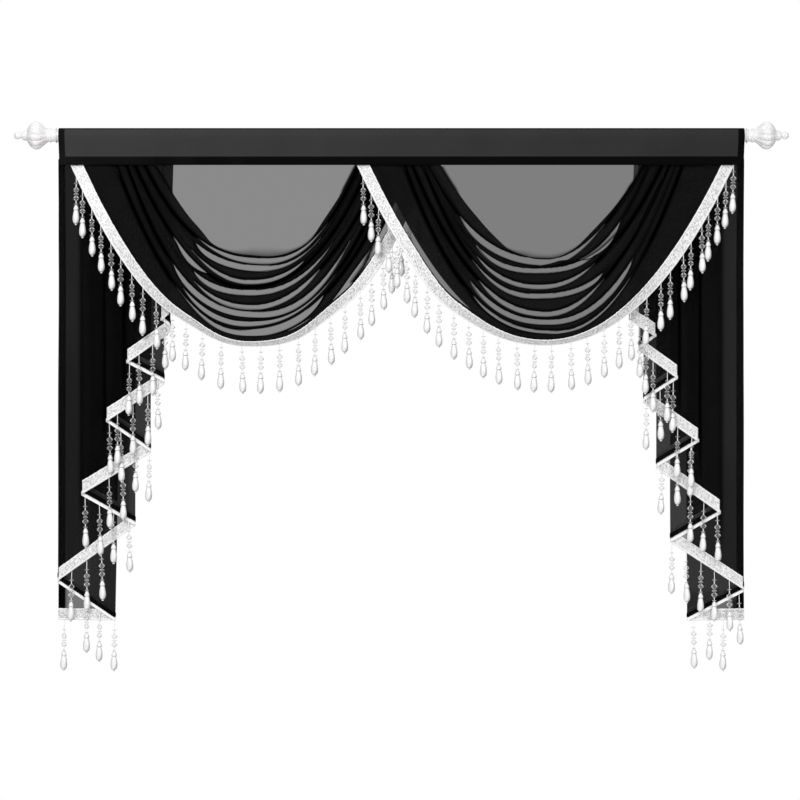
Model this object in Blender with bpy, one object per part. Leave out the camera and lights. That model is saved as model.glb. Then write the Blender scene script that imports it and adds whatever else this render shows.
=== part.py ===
"""A swag and tail drape on its rod.

A heading of dense cloth is folded over a round rod and stitched below it. Two sheer
swags hang from the heading's seam in festoon folds, and a sheer tail hangs at each end,
folded back and forth, with a lower edge that steps down towards the outside. Every hem
carries a flat braid on its face and a fringe of bead drops.

X runs along the rod, Y points away from the viewer and Z is up, in metres. The origin is
on the rod's axis at the middle of its length.
"""

import math
from collections import namedtuple

import bmesh
import bpy
from mathutils import Vector

# Rod and finials
ROD_RADIUS = 0.0140
ROD_PAST_HEADING = 0.0045
FINIAL_GAP = 0.0003
FINIAL_SIDES = 18
ROD_SIDES = 24

# Heading: a pocket around the rod and a doubled strip below the stitching
HEADING_WIDTH = 1.500
HEADING_CLOTH = 0.0015
POCKET_EASE = 0.0005
STITCH_Z = -0.0450
HEADING_LOW_Z = -0.0646
POCKET_STEPS = 12

# Panels: sheer cloth, drawn 1 mm thick, sewn behind the strip
CLOTH = 0.0010
SEAM_Z = -0.0500

# Swags: cloth hangs straight down to HANG_Z and leans forward below it
HANG_Z = -0.0665
BELLY = 0.065
TURN_AT_SEAM = 0.0017
TURN_AT_LOW = 0.0050
PLEAT_DEPTH_AT_SEAM = 0.0075
PLEAT_DEPTH_AT_LOW = 0.0140
HEM_SET_BACK = 0.0022

# Tails
FAN_Z = -0.300
TAIL_TOP_Y = 0.0132
TAIL_FRONT_Y = -0.0120
LAYER_STEP_AT_SEAM = 0.00135
LAYER_STEP_FANNED = 0.0060

# Braid, sewn on the face of each hem; the cloth ends behind it, above the bead tape
BRAID_WIDTH = 0.025
BRAID_THICKNESS = 0.0015
BRAID_GAP = 0.0005
HEM_BEHIND_BRAID = 0.018
TAPE_WIDTH = 0.0070
TAPE_PAST_BRAID = 0.0010

# Bead drops: distance below the hem, half width, and how far the drop has come forward
THREAD_HALF_WIDTH = 0.0012
TAIL_THREAD_EXTRA = 0.0075
Ring = namedtuple("Ring", "below half_width forward")
DROP_RINGS = (
    Ring(below=0.034, half_width=0.0062, forward=0.0030),
    Ring(below=0.064, half_width=0.0030, forward=0.0046),
    Ring(below=0.089, half_width=0.0075, forward=0.0052),
    Ring(below=0.106, half_width=0.0012, forward=0.0052),
)

# Swag folds, from the flat top cloth down to the hem. left and right are where the crease
# leaves the seam, low is its lowest point, and lap is the height of the three layers there.
# A swag's drops start first_drop below the heading and are pitch apart along the hem, up to
# the drop numbered pitch_change, and later_pitch apart after it.
Fold = namedtuple("Fold", "left right low lap")
Swag = namedtuple(
    "Swag",
    "side folds flat_left flat_right tuck_left tuck_right low_x hem_left hem_right hem_low"
    " bow_left bow_right depth_left depth_right ease_right curl_deg"
    " first_drop pitch pitch_change later_pitch",
)
SWAGS = (
    Swag(
        side="left",
        folds=(
            Fold(left=-0.543, right=-0.092, low=-0.270, lap=0.006),
            Fold(left=-0.567, right=-0.070, low=-0.318, lap=0.021),
            Fold(left=-0.587, right=-0.048, low=-0.341, lap=0.012),
            Fold(left=-0.610, right=-0.026, low=-0.373, lap=0.021),
            Fold(left=-0.633, right=-0.004, low=-0.409, lap=0.010),
        ),
        flat_left=-0.512,
        flat_right=-0.122,
        tuck_left=0.027,
        tuck_right=0.026,
        low_x=-0.319,
        hem_left=-0.7035,
        hem_right=0.033,
        hem_low=-0.451,
        bow_left=2.0,
        bow_right=2.25,
        depth_left=0.0025,
        depth_right=0.0145,
        ease_right=2.2,
        curl_deg=62,
        first_drop=0.0237,
        pitch=0.0403,
        pitch_change=11,
        later_pitch=0.0436,
    ),
    Swag(
        side="right",
        folds=(
            Fold(left=0.081, right=0.535, low=-0.276, lap=0.005),
            Fold(left=0.060, right=0.556, low=-0.329, lap=0.023),
            Fold(left=0.042, right=0.581, low=-0.349, lap=0.009),
            Fold(left=0.021, right=0.608, low=-0.387, lap=0.026),
            Fold(left=-0.003, right=0.633, low=-0.428, lap=0.010),
        ),
        flat_left=0.108,
        flat_right=0.504,
        tuck_left=0.024,
        tuck_right=0.028,
        low_x=0.310,
        hem_left=-0.0705,
        hem_right=0.708,
        hem_low=-0.450,
        bow_left=1.9,
        bow_right=1.9,
        depth_left=0.0025,
        depth_right=0.0025,
        ease_right=1.0,
        curl_deg=60,
        first_drop=0.0215,
        pitch=0.0392,
        pitch_change=19,
        later_pitch=0.0353,
    ),
)

# Tail edges, from the inner free edge through each fold to the outer free edge. top and
# foot are the fold's X at the seam and at its foot, low is the foot's Z, band is the
# braid's upright height there, and drops are the X of the bead drops on the panel that
# starts at this edge.
Edge = namedtuple("Edge", "top foot low band drops")
Tail = namedtuple("Tail", "side outward edges")
TAILS = (
    Tail(
        side="left",
        outward=-1,
        edges=(
            Edge(top=-0.500, foot=-0.507, low=-0.390, band=0.029, drops=(-0.5168,)),
            Edge(top=-0.526, foot=-0.526, low=-0.405, band=0.029, drops=()),
            Edge(top=-0.507, foot=-0.507, low=-0.424, band=0.029, drops=(-0.5475, -0.5749)),
            Edge(top=-0.599, foot=-0.599, low=-0.497, band=0.029, drops=(-0.5961, -0.5345)),
            Edge(top=-0.520, foot=-0.520, low=-0.541, band=0.029,
                 drops=(-0.5567, -0.5910, -0.6231)),
            Edge(top=-0.643, foot=-0.643, low=-0.625, band=0.029,
                 drops=(-0.6405, -0.6050, -0.5775, -0.5530)),
            Edge(top=-0.547, foot=-0.551, low=-0.691, band=0.029,
                 drops=(-0.6190, -0.6460)),
            Edge(top=-0.700, foot=-0.700, low=-0.785, band=0.029,
                 drops=(-0.6962, -0.6647, -0.6310, -0.6003)),
            Edge(top=-0.583, foot=-0.586, low=-0.850, band=0.029,
                 drops=(-0.6609, -0.6875, -0.7260)),
            Edge(top=-0.7485, foot=-0.7485, low=-0.977, band=0.029,
                 drops=(-0.7000, -0.6647)),
            Edge(top=-0.614, foot=-0.627, low=-1.0545, band=0.025, drops=(-0.6329, -0.7435)),
            Edge(top=-0.7485, foot=-0.7485, low=-1.060, band=0.025, drops=()),
        ),
    ),
    Tail(
        side="right",
        outward=1,
        edges=(
            Edge(top=0.510, foot=0.497, low=-0.404, band=0.029, drops=(0.5214,)),
            Edge(top=0.557, foot=0.557, low=-0.440, band=0.029, drops=(0.5359,)),
            Edge(top=0.519, foot=0.519, low=-0.463, band=0.029, drops=(0.5510, 0.5823)),
            Edge(top=0.605, foot=0.605, low=-0.531, band=0.029,
                 drops=(0.5959, 0.5666, 0.5368)),
            Edge(top=0.531, foot=0.531, low=-0.580, band=0.029, drops=(0.6120, 0.6425)),
            Edge(top=0.650, foot=0.650, low=-0.670, band=0.029,
                 drops=(0.6290, 0.5980, 0.5722)),
            Edge(top=0.560, foot=0.560, low=-0.727, band=0.029, drops=(0.6430, 0.6647, 0.6940)),
            Edge(top=0.697, foot=0.697, low=-0.827, band=0.029, drops=()),
            Edge(top=0.592, foot=0.592, low=-0.888, band=0.029,
                 drops=(0.5955, 0.6257, 0.6596, 0.6910, 0.7218)),
            Edge(top=0.7485, foot=0.7485, low=-0.9965, band=0.029,
                 drops=(0.7440, 0.6780, 0.6430)),
            Edge(top=0.625, foot=0.625, low=-1.0565, band=0.025, drops=(0.7102,)),
            Edge(top=0.7485, foot=0.7485, low=-1.060, band=0.025, drops=()),
        ),
    ),
)

# Finial outline from the heading outwards: distance along the rod, and radius
Turning = namedtuple("Turning", "along radius")
FINIAL_OUTLINE = (
    Turning(along=0.0000, radius=0.0170),
    Turning(along=0.0020, radius=0.0170),
    Turning(along=0.0030, radius=0.0138),
    Turning(along=0.0110, radius=0.0138),
    Turning(along=0.0118, radius=0.0155),
    Turning(along=0.0160, radius=0.0155),
    Turning(along=0.0168, radius=0.0137),
    Turning(along=0.0240, radius=0.0180),
    Turning(along=0.0330, radius=0.0275),
    Turning(along=0.0440, radius=0.0310),
    Turning(along=0.0550, radius=0.0270),
    Turning(along=0.0640, radius=0.0150),
    Turning(along=0.0660, radius=0.0108),
    Turning(along=0.0680, radius=0.0115),
    Turning(along=0.0750, radius=0.0112),
    Turning(along=0.0775, radius=0.0055),
    Turning(along=0.0805, radius=0.0055),
    Turning(along=0.0840, radius=0.0082),
    Turning(along=0.0890, radius=0.0078),
)
FINIAL_TIP = 0.0930


def clear_scene():
    """Takes every object out of the scene."""
    for item in list(bpy.data.objects):
        bpy.data.objects.remove(item, do_unlink=True)


def material(name, colour, roughness, metallic=0.0):
    """A Principled material of one colour."""
    made = bpy.data.materials.new(name)
    made.use_nodes = True
    shader = made.node_tree.nodes["Principled BSDF"]
    shader.inputs["Base Color"].default_value = (*colour, 1.0)
    shader.inputs["Roughness"].default_value = roughness
    shader.inputs["Metallic"].default_value = metallic
    return made


def add_object(name, bm, surface, smooth=False):
    """Turns the bmesh into an object of this name and material."""
    mesh = bpy.data.meshes.new(name)
    bm.normal_update()
    bm.to_mesh(mesh)
    bm.free()
    mesh.materials.append(surface)
    if smooth:
        mesh.shade_smooth()
        mesh.set_sharp_from_angle(angle=math.radians(50))
    made = bpy.data.objects.new(name, mesh)
    bpy.context.scene.collection.objects.link(made)
    return made


def between(a, b, share):
    """The value this share of the way from a to b."""
    return a + (b - a) * share


def sheet(name, rows, thickness, surface):
    """A sheet of cloth: a grid through the rows of points, thickened to both sides."""
    bm = bmesh.new()
    grid = [[bm.verts.new(point) for point in row] for row in rows]
    for upper, lower in zip(grid, grid[1:]):
        for i in range(len(upper) - 1):
            bm.faces.new((upper[i], lower[i], lower[i + 1]))
            bm.faces.new((upper[i], lower[i + 1], upper[i + 1]))
    made = add_object(name, bm, surface, smooth=True)
    solidify = made.modifiers.new("Thickness", "SOLIDIFY")
    solidify.thickness = thickness
    solidify.offset = 0.0
    solidify.use_even_offset = True
    solidify.use_quality_normals = True
    return made


# Heading and rod


def heading_section():
    """The heading's outer and inner outlines as (y, z) points, back to front over the rod.

    The pocket is an arc over the rod with straight sides that meet at the stitching.
    Below it the two layers are one strip.
    """
    inner_radius = ROD_RADIUS + POCKET_EASE
    outer_radius = inner_radius + HEADING_CLOTH
    slant = math.asin(inner_radius / -STITCH_Z)
    sweep = math.pi + 2 * slant
    angles = [-slant + sweep * i / POCKET_STEPS for i in range(POCKET_STEPS + 1)]
    outer = [(outer_radius * math.cos(a), outer_radius * math.sin(a)) for a in angles]
    inner = [(inner_radius * math.cos(a), inner_radius * math.sin(a)) for a in angles]
    inner.append((0.0, STITCH_Z))
    outer.append((-HEADING_CLOTH, STITCH_Z))
    outer.append((-HEADING_CLOTH, HEADING_LOW_Z))
    outer.append((HEADING_CLOTH, HEADING_LOW_Z))
    outer.append((HEADING_CLOTH, STITCH_Z))
    return outer, inner


def build_heading(surface):
    """The heading: its ring-shaped section carried along the rod."""
    outer, inner = heading_section()
    bm = bmesh.new()
    left = -HEADING_WIDTH / 2
    outer_verts = [bm.verts.new((left, y, z)) for y, z in outer]
    inner_verts = [bm.verts.new((left, y, z)) for y, z in inner]
    arc = range(POCKET_STEPS)
    for i in arc:
        bm.faces.new((outer_verts[i], outer_verts[i + 1], inner_verts[i + 1], inner_verts[i]))
    front, back = POCKET_STEPS, 0
    stitch = inner_verts[-1]
    strip = outer_verts[POCKET_STEPS + 1:]
    bm.faces.new((outer_verts[front], strip[0], stitch, inner_verts[front]))
    bm.faces.new((strip[0], strip[1], strip[2], strip[3], stitch))
    bm.faces.new((strip[3], outer_verts[back], inner_verts[back], stitch))
    along = Vector((HEADING_WIDTH, 0.0, 0.0))
    caps = bm.faces[:]
    moved = bmesh.ops.extrude_face_region(bm, geom=caps, use_keep_orig=True)["geom"]
    verts = [item for item in moved if isinstance(item, bmesh.types.BMVert)]
    bmesh.ops.translate(bm, verts=verts, vec=along)
    bmesh.ops.recalc_face_normals(bm, faces=bm.faces)
    return add_object("heading", bm, surface, smooth=True)


def build_rod(surface):
    """The rod: a plain round bar that ends just past the heading."""
    length = HEADING_WIDTH + 2 * ROD_PAST_HEADING
    bm = bmesh.new()
    bmesh.ops.create_cone(
        bm, cap_ends=True, segments=ROD_SIDES, radius1=ROD_RADIUS, radius2=ROD_RADIUS,
        depth=length,
    )
    made = add_object("rod", bm, surface, smooth=True)
    made.rotation_euler = (0.0, math.pi / 2, 0.0)
    return made


def build_finial(side, outward, surface):
    """A finial: its outline turned about the rod's axis, standing off the rod's end."""
    bm = bmesh.new()
    start = HEADING_WIDTH / 2 + ROD_PAST_HEADING + FINIAL_GAP
    outline = [bm.verts.new((turn.along, 0.0, turn.radius)) for turn in FINIAL_OUTLINE]
    foot = bm.verts.new((FINIAL_OUTLINE[0].along, 0.0, 0.0))
    tip = bm.verts.new((FINIAL_TIP, 0.0, 0.0))
    points = [foot, *outline, tip]
    edges = [bm.edges.new(pair) for pair in zip(points, points[1:])]
    bmesh.ops.spin(
        bm, geom=points + edges, cent=(0.0, 0.0, 0.0), axis=(1.0, 0.0, 0.0),
        angle=2 * math.pi, steps=FINIAL_SIDES, use_merge=True,
    )
    bmesh.ops.remove_doubles(bm, verts=bm.verts, dist=1e-6)
    bmesh.ops.recalc_face_normals(bm, faces=bm.faces)
    made = add_object(f"finial_{side}", bm, surface, smooth=True)
    made.location = (outward * start, 0.0, 0.0)
    made.rotation_euler = (0.0, 0.0, 0.0 if outward > 0 else math.pi)
    return made


# Swags


def swag_point(swag, left, right, low, u, set_back=0.0):
    """A point of a line that hangs from left to right and is lowest in the middle.

    u runs from -1 at the left end to 1 at the right one. The line leans further forward
    the lower it hangs, and set_back moves it behind the front of its fold.
    """
    reach = right - swag.low_x if u > 0 else swag.low_x - left
    bow = swag.bow_right if u > 0 else swag.bow_left
    z = HANG_Z - (HANG_Z - low) * (1 - abs(u) ** bow)
    share = (HANG_Z - z) / (HANG_Z - swag.hem_low)
    ease = between(1.0, swag.ease_right, 0.5 + 0.5 * math.tanh(3 * u))
    at_seam = between(swag.depth_left, swag.depth_right, (u + 1) / 2)
    return Vector((swag.low_x + u * reach, at_seam - BELLY * share ** ease + set_back, z))


def hem_point(swag, u):
    """A point of the line where the hem's braid begins."""
    set_back = HEM_SET_BACK * u * u
    return swag_point(swag, swag.hem_left, swag.hem_right, swag.hem_low, u, set_back)


def share_below(a, b, height):
    """How much of the stretch from a to b lies below a height."""
    top = max(a.z, b.z)
    foot = min(a.z, b.z)
    return min(max((height - foot) / max(top - foot, 1e-9), 0.0), 1.0)


def hem_columns(swag):
    """The places across a swag, from -1 to 1, at its ends and above each of its drops."""
    count = 480
    places = [-1 + 2 * i / count for i in range(count + 1)]
    frames = hem_frame(swag, places)[1:-1]
    feet = [point + across * (BRAID_WIDTH + TAPE_PAST_BRAID) for point, across, _ in frames]
    lengths = [0.0]
    for a, b in zip(feet, feet[1:]):
        lengths.append(lengths[-1] + (b - a).length * share_below(a, b, HEADING_LOW_Z))
    columns = [-1.0]
    wanted = swag.first_drop
    while wanted < lengths[-1] - 0.012:
        after = next(j for j, length in enumerate(lengths) if length >= wanted)
        share = (wanted - lengths[after - 1]) / (lengths[after] - lengths[after - 1])
        columns.append(between(places[after - 1], places[after], share))
        is_early = len(columns) - 1 < swag.pitch_change
        wanted += swag.pitch if is_early else swag.later_pitch
    return [*columns, 1.0]


def sewn_in(end, inner):
    """The point behind the heading's strip that carries a hanging line up to the seam."""
    slope = (end.x - inner.x) / (end.z - inner.z)
    return Vector((end.x + slope * (SEAM_Z - HANG_Z), end.y, SEAM_Z))


def with_ends(line):
    """The line carried up to the seam at both ends."""
    return [sewn_in(line[0], line[1]), *line, sewn_in(line[-1], line[-2])]


def fold_lines(swag, fold, columns):
    """The four lines of a fold: its front turn below and its hidden turn above."""
    front, front_back, hidden_front, hidden = [], [], [], []
    for u in columns:
        hang = 1 - u * u
        turn = between(TURN_AT_SEAM, TURN_AT_LOW, hang)
        depth = between(PLEAT_DEPTH_AT_SEAM, PLEAT_DEPTH_AT_LOW, hang)
        below = (swag, fold.left, fold.right, fold.low, u)
        above = (
            swag, fold.left + swag.tuck_left, fold.right - swag.tuck_right,
            fold.low + fold.lap, u,
        )
        front.append(swag_point(*below))
        front_back.append(swag_point(*below, turn))
        hidden_front.append(swag_point(*above, depth - turn))
        hidden.append(swag_point(*above, depth))
    return [with_ends(line) for line in (front, front_back, hidden_front, hidden)]


def hem_frame(swag, columns):
    """For each column of the hem: the braid's inner edge, and unit vectors across the
    braid and out of its face. Towards the middle the hem curls back under the swag."""
    line = [hem_point(swag, u) for u in columns]
    frames = []
    for i, u in enumerate(columns):
        before = line[max(i - 1, 0)]
        after = line[min(i + 1, len(line) - 1)]
        along = (after - before).normalized()
        face = Vector((along.z, 0.0, -along.x)).cross(along).normalized()
        down = along.cross(face).normalized()
        curl = math.radians(swag.curl_deg) * math.cos(math.pi / 2 * u) ** 2
        across = down * math.cos(curl) - face * math.sin(curl)
        out = face * math.cos(curl) + down * math.sin(curl)
        frames.append((line[i], across, out))
    first = (sewn_in(line[0], line[1]), *frames[0][1:])
    last = (sewn_in(line[-1], line[-2]), *frames[-1][1:])
    return [first, *frames, last]


def flat_rows(swag, columns):
    """The rows of the flat top cloth above its first fold: at the seam, below the strip,
    and halfway down."""
    first = swag.folds[0]
    low_row = with_ends([
        swag_point(swag, first.left, first.right, first.low, u) for u in columns
    ])
    count = len(low_row)
    seam, hang = [], []
    for i, low_point in enumerate(low_row):
        share = i / (count - 1)
        y = between(swag.depth_left, swag.depth_right, share)
        seam.append(Vector((between(swag.flat_left, swag.flat_right, share), y, SEAM_Z)))
        left = between(swag.flat_left, first.left, 0.5)
        right = between(swag.flat_right, first.right, 0.5)
        inside = min(max((i - 1) / (count - 3), 0.0), 1.0)
        at_end = i in (0, count - 1)
        hang.append(Vector((between(left, right, inside), y, SEAM_Z if at_end else HANG_Z)))
    middle = [(a + b) / 2 for a, b in zip(hang, low_row)]
    return [seam, hang, middle]


def swag_rows(swag, columns):
    """The lines through which the swag's cloth runs, from the seam down to its hem."""
    rows = flat_rows(swag, columns)
    for fold in swag.folds:
        rows.extend(fold_lines(swag, fold, columns))
    frames = hem_frame(swag, columns)
    rows.append([point for point, _, _ in frames])
    rows.append([point + across * HEM_BEHIND_BRAID for point, across, _ in frames])
    return rows


def braid_offset():
    """How far the braid's middle stands in front of the cloth's middle."""
    return CLOTH / 2 + BRAID_GAP + BRAID_THICKNESS / 2


def build_swag_braid(swag, columns, surface):
    """The braid on the face of a swag's hem."""
    rows = []
    for width in (0.0, HEM_BEHIND_BRAID, BRAID_WIDTH):
        rows.append([
            point + across * width + out * braid_offset()
            for point, across, out in hem_frame(swag, columns)
        ])
    return sheet(f"braid_swag_{swag.side}", rows, BRAID_THICKNESS, surface)


# Tails


def layer_y(layer, z):
    """The depth of one layer of a tail: close together at the seam, fanned out below."""
    share = min((SEAM_Z - z) / (SEAM_Z - FAN_Z), 1.0)
    front = between(TAIL_TOP_Y, TAIL_FRONT_Y, share)
    return front + layer * between(LAYER_STEP_AT_SEAM, LAYER_STEP_FANNED, share)


def tail_stops(tail):
    """The corners of a tail's folded section as (edge, layer), from inside to outside."""
    stops = []
    last = len(tail.edges) - 1
    for i, edge in enumerate(tail.edges):
        if i > 0:
            stops.append((edge, i - 1))
        if i < last:
            stops.append((edge, i))
    return stops


def face_normals(tail):
    """The direction of the cloth's face on each stretch between two stops."""
    normals = []
    for i in range(len(tail_stops(tail)) - 1):
        on_turn = i % 2 == 1
        faces_back = i % 4 == 2
        if on_turn:
            normals.append(Vector((tail.outward, 0.0, 0.0)))
        else:
            normals.append(Vector((0.0, 1.0 if faces_back else -1.0, 0.0)))
    return normals


def corner_normals(tail):
    """The mitred direction of the face at each stop."""
    normals = face_normals(tail)
    joined = [normals[0]]
    joined += [a + b for a, b in zip(normals, normals[1:])]
    joined.append(normals[-1])
    return joined


def tail_row(tail, height_of, offset=0.0):
    """One line of points across a tail at the heights that height_of gives each edge."""
    row = []
    for (edge, layer), normal in zip(tail_stops(tail), corner_normals(tail)):
        z = height_of(edge)
        share = (SEAM_Z - z) / (SEAM_Z - edge.low)
        point = Vector((between(edge.top, edge.foot, share), layer_y(layer, z), z))
        row.append(point + normal * offset)
    return row


def build_tail(tail, surface):
    """A tail: one back-and-forth section of its layers, with a stepped lower edge."""
    rows = [
        tail_row(tail, lambda edge: SEAM_Z),
        tail_row(tail, lambda edge: FAN_Z),
        tail_row(tail, lambda edge: edge.low + edge.band),
        tail_row(tail, lambda edge: edge.low + edge.band * (1 - HEM_BEHIND_BRAID / BRAID_WIDTH)),
    ]
    return sheet(f"tail_{tail.side}", rows, CLOTH, surface)


def build_tail_braid(tail, surface):
    """The braid on the face of a tail's hem, folded with it."""
    rows = [
        tail_row(tail, lambda edge: edge.low + edge.band, braid_offset()),
        tail_row(tail, lambda edge: edge.low, braid_offset()),
    ]
    return sheet(f"braid_tail_{tail.side}", rows, BRAID_THICKNESS, surface)


# Bead fringes


Station = namedtuple("Station", "foot up half bears_drop")


def grow_drop(bm, root, centre, thread_extra):
    """Draws one bead drop down out of the tape's lower face."""
    corners = [(vert.co - centre) for vert in root.verts]
    front_first = sorted(range(4), key=lambda i: corners[i].y)
    front = set(front_first[:2])
    signs = []
    for i, corner in enumerate(corners):
        pair = front if i in front else set(range(4)) - front
        partner = next(j for j in pair if j != i)
        right = corner.x > corners[partner].x
        signs.append((1 if right else -1, -1 if i in front else 1))
    face = root
    for ring in DROP_RINGS:
        face = bmesh.ops.extrude_discrete_faces(bm, faces=[face])["faces"][0]
        middle = centre + Vector((0.0, -ring.forward, -ring.below - thread_extra))
        for vert, (sign_x, sign_y) in zip(face.verts, signs):
            spread = Vector((sign_x * ring.half_width, sign_y * ring.half_width, 0.0))
            vert.co = middle + spread


def build_fringe(name, stations, surface, thread_extra=0.0):
    """A bead fringe: a tape through the stations, with a drop below each that bears one."""
    bm = bmesh.new()
    loops = []
    for station in stations:
        top = station.foot + station.up
        loops.append([
            bm.verts.new(station.foot + station.half),
            bm.verts.new(top + station.half),
            bm.verts.new(top - station.half),
            bm.verts.new(station.foot - station.half),
        ])
    roots = []
    for i, (one, two) in enumerate(zip(loops, loops[1:])):
        bm.faces.new((one[0], one[1], two[0]))
        bm.faces.new((one[1], two[1], two[0]))
        bm.faces.new((one[1], one[2], two[2], two[1]))
        bm.faces.new((one[2], one[3], two[3]))
        bm.faces.new((one[2], two[3], two[2]))
        under = bm.faces.new((one[3], one[0], two[0], two[3]))
        if stations[i].bears_drop:
            roots.append((under, (stations[i].foot + stations[i + 1].foot) / 2))
    bm.faces.new(loops[0])
    bm.faces.new(list(reversed(loops[-1])))
    bmesh.ops.recalc_face_normals(bm, faces=bm.faces)
    for face, centre in roots:
        grow_drop(bm, face, centre, thread_extra)
    bmesh.ops.recalc_face_normals(bm, faces=bm.faces)
    return add_object(name, bm, surface, smooth=True)


def swag_stations(swag, columns):
    """The tape's stations along a swag's hem: its ends, and a pair at each drop."""
    frames = hem_frame(swag, columns)
    past = BRAID_WIDTH + TAPE_PAST_BRAID
    beside = THREAD_HALF_WIDTH / swag.pitch
    last = len(frames) - 2
    # Each mark is a column, the share of the way to the next one, and whether a drop follows.
    marks = [(0, 0.0, False), (1, 0.0, False)]
    for i in range(2, last):
        marks.append((i - 1, 1 - beside, True))
        marks.append((i, beside, False))
    marks += [(last, 0.0, False), (last, 1.0, False)]
    stations = []
    for i, share, bears_drop in marks:
        place = frames[i][0].lerp(frames[i + 1][0], share)
        across = frames[i][1].lerp(frames[i + 1][1], share)
        out = frames[i][2].lerp(frames[i + 1][2], share)
        foot = place + across * past
        stations.append(Station(foot, -across * TAPE_WIDTH, out * CLOTH / 2, bears_drop))
    return stations


def tape_rise(edge):
    """The upright height of the bead tape at one edge of a tail."""
    return Vector((0.0, 0.0, TAPE_WIDTH * edge.band / BRAID_WIDTH))


def tail_stations(tail):
    """The tape's stations along a tail's hem: its corners, and a pair at each drop."""
    feet = tail_row(tail, lambda edge: edge.low - TAPE_PAST_BRAID)
    normals = corner_normals(tail)
    stops = tail_stops(tail)
    stations = []
    for i, foot in enumerate(feet):
        edge, _ = stops[i]
        stations.append(Station(foot, tape_rise(edge), normals[i] * CLOTH / 2, False))
        if i % 2 == 1 or i == len(feet) - 1:
            continue
        end = feet[i + 1]
        flat = Vector((0.0, normals[i].y, 0.0)).normalized() * CLOTH / 2
        for x in edge.drops:
            for side in (-1, 1):
                at = x + side * THREAD_HALF_WIDTH * math.copysign(1, end.x - foot.x)
                share = (at - foot.x) / (end.x - foot.x)
                up = tape_rise(edge).lerp(tape_rise(stops[i + 1][0]), share)
                stations.append(Station(foot.lerp(end, share), up, flat, side < 0))
    return stations


def main():
    """Builds every piece of the drape."""
    clear_scene()
    dense = material("heading_cloth", (0.030, 0.030, 0.032), 0.75)
    voile = material("black_voile", (0.012, 0.012, 0.013), 0.70)
    braid = material("white_braid", (0.86, 0.86, 0.86), 0.45)
    beads = material("pearl_beads", (0.88, 0.88, 0.87), 0.22)
    pole = material("pole_enamel", (0.80, 0.80, 0.80), 0.30)
    turned = material("finial_enamel", (0.84, 0.84, 0.84), 0.20)

    build_rod(pole)
    build_finial("left", -1, turned)
    build_finial("right", 1, turned)
    build_heading(dense)
    for swag in SWAGS:
        columns = hem_columns(swag)
        sheet(f"swag_{swag.side}", swag_rows(swag, columns), CLOTH, voile)
        build_swag_braid(swag, columns, braid)
        build_fringe(f"beads_swag_{swag.side}", swag_stations(swag, columns), beads)
    for tail in TAILS:
        build_tail(tail, voile)
        build_tail_braid(tail, braid)
        fringe = f"beads_tail_{tail.side}"
        build_fringe(fringe, tail_stations(tail), beads, TAIL_THREAD_EXTRA)


main()
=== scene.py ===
"""The looks of a swag and tail drape on its rod.

Two sheer swags hang from the seam of a dense heading, and a sheer tail hangs at each end.
Every hem carries a white glitter braid and a fringe of bead drops. The heading is folded
over a round rod that ends in a fluted finial at each side.

X runs along the rod, Y points away from the viewer and Z is up, in metres.
"""

import logging
import math
import random
from collections.abc import Callable, Sequence
from dataclasses import dataclass, field, replace
from enum import Enum
from itertools import accumulate, pairwise

import bmesh
import bpy
from mathutils import Matrix, Vector, noise


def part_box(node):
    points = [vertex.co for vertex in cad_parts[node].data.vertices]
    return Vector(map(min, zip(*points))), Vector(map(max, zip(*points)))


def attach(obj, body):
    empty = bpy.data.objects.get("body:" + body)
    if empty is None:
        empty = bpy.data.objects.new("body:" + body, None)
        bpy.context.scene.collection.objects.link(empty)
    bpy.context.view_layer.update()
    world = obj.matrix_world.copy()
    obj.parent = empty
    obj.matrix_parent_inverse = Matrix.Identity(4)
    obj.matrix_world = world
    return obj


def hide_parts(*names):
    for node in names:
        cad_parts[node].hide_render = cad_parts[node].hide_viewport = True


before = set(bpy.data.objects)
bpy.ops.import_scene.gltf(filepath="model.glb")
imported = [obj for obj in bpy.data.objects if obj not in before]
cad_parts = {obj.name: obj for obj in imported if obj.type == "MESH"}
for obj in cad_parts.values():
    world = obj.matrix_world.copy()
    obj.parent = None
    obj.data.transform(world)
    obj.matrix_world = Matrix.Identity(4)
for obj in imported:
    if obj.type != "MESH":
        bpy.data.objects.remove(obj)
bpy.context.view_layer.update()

LOG = logging.getLogger("drape")

SEAM_Z = -0.0500
HANG_Z = -0.0665
HEADING_LOW_Z = -0.0646

Line = list[Vector]
Piece = bpy.types.Object
Node = bpy.types.Node
Tree = bpy.types.NodeTree
Socket = bpy.types.NodeSocket


class Side(Enum):
    """The end of the rod that a piece belongs to, and its direction along X."""

    LEFT = -1
    RIGHT = 1

    @property
    def word(self) -> str:
        """The side's name in lower case."""
        return self.name.lower()


# ---- small helpers


def between(a: float, b: float, share: float) -> float:
    """The value this share of the way from a to b."""
    return a + (b - a) * share


def clamp(value: float, low: float = 0.0, high: float = 1.0) -> float:
    """The value kept between low and high."""
    return max(low, min(high, value))


def smooth(share: float) -> float:
    """A share from 0 to 1, eased at both ends."""
    share = clamp(share)
    return share * share * (3 - 2 * share)


def wander(x: float, lane: float, seed: float = 0.0) -> float:
    """A slow, repeatable drift between about -1 and 1.

    Args:
        x: where along the drift, in periods.
        lane: a number that keeps neighbouring drifts apart.
        seed: a second number that does so.

    Returns:
        The drift at that place.
    """
    return 1.6 * noise.noise(Vector((x, lane * 7.3, seed * 3.1 + 0.5)))


def lengths_along(line: Line) -> list[float]:
    """The distance from the line's start to each of its points."""
    return list(accumulate(((b - a).length for a, b in pairwise(line)), initial=0.0))


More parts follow.
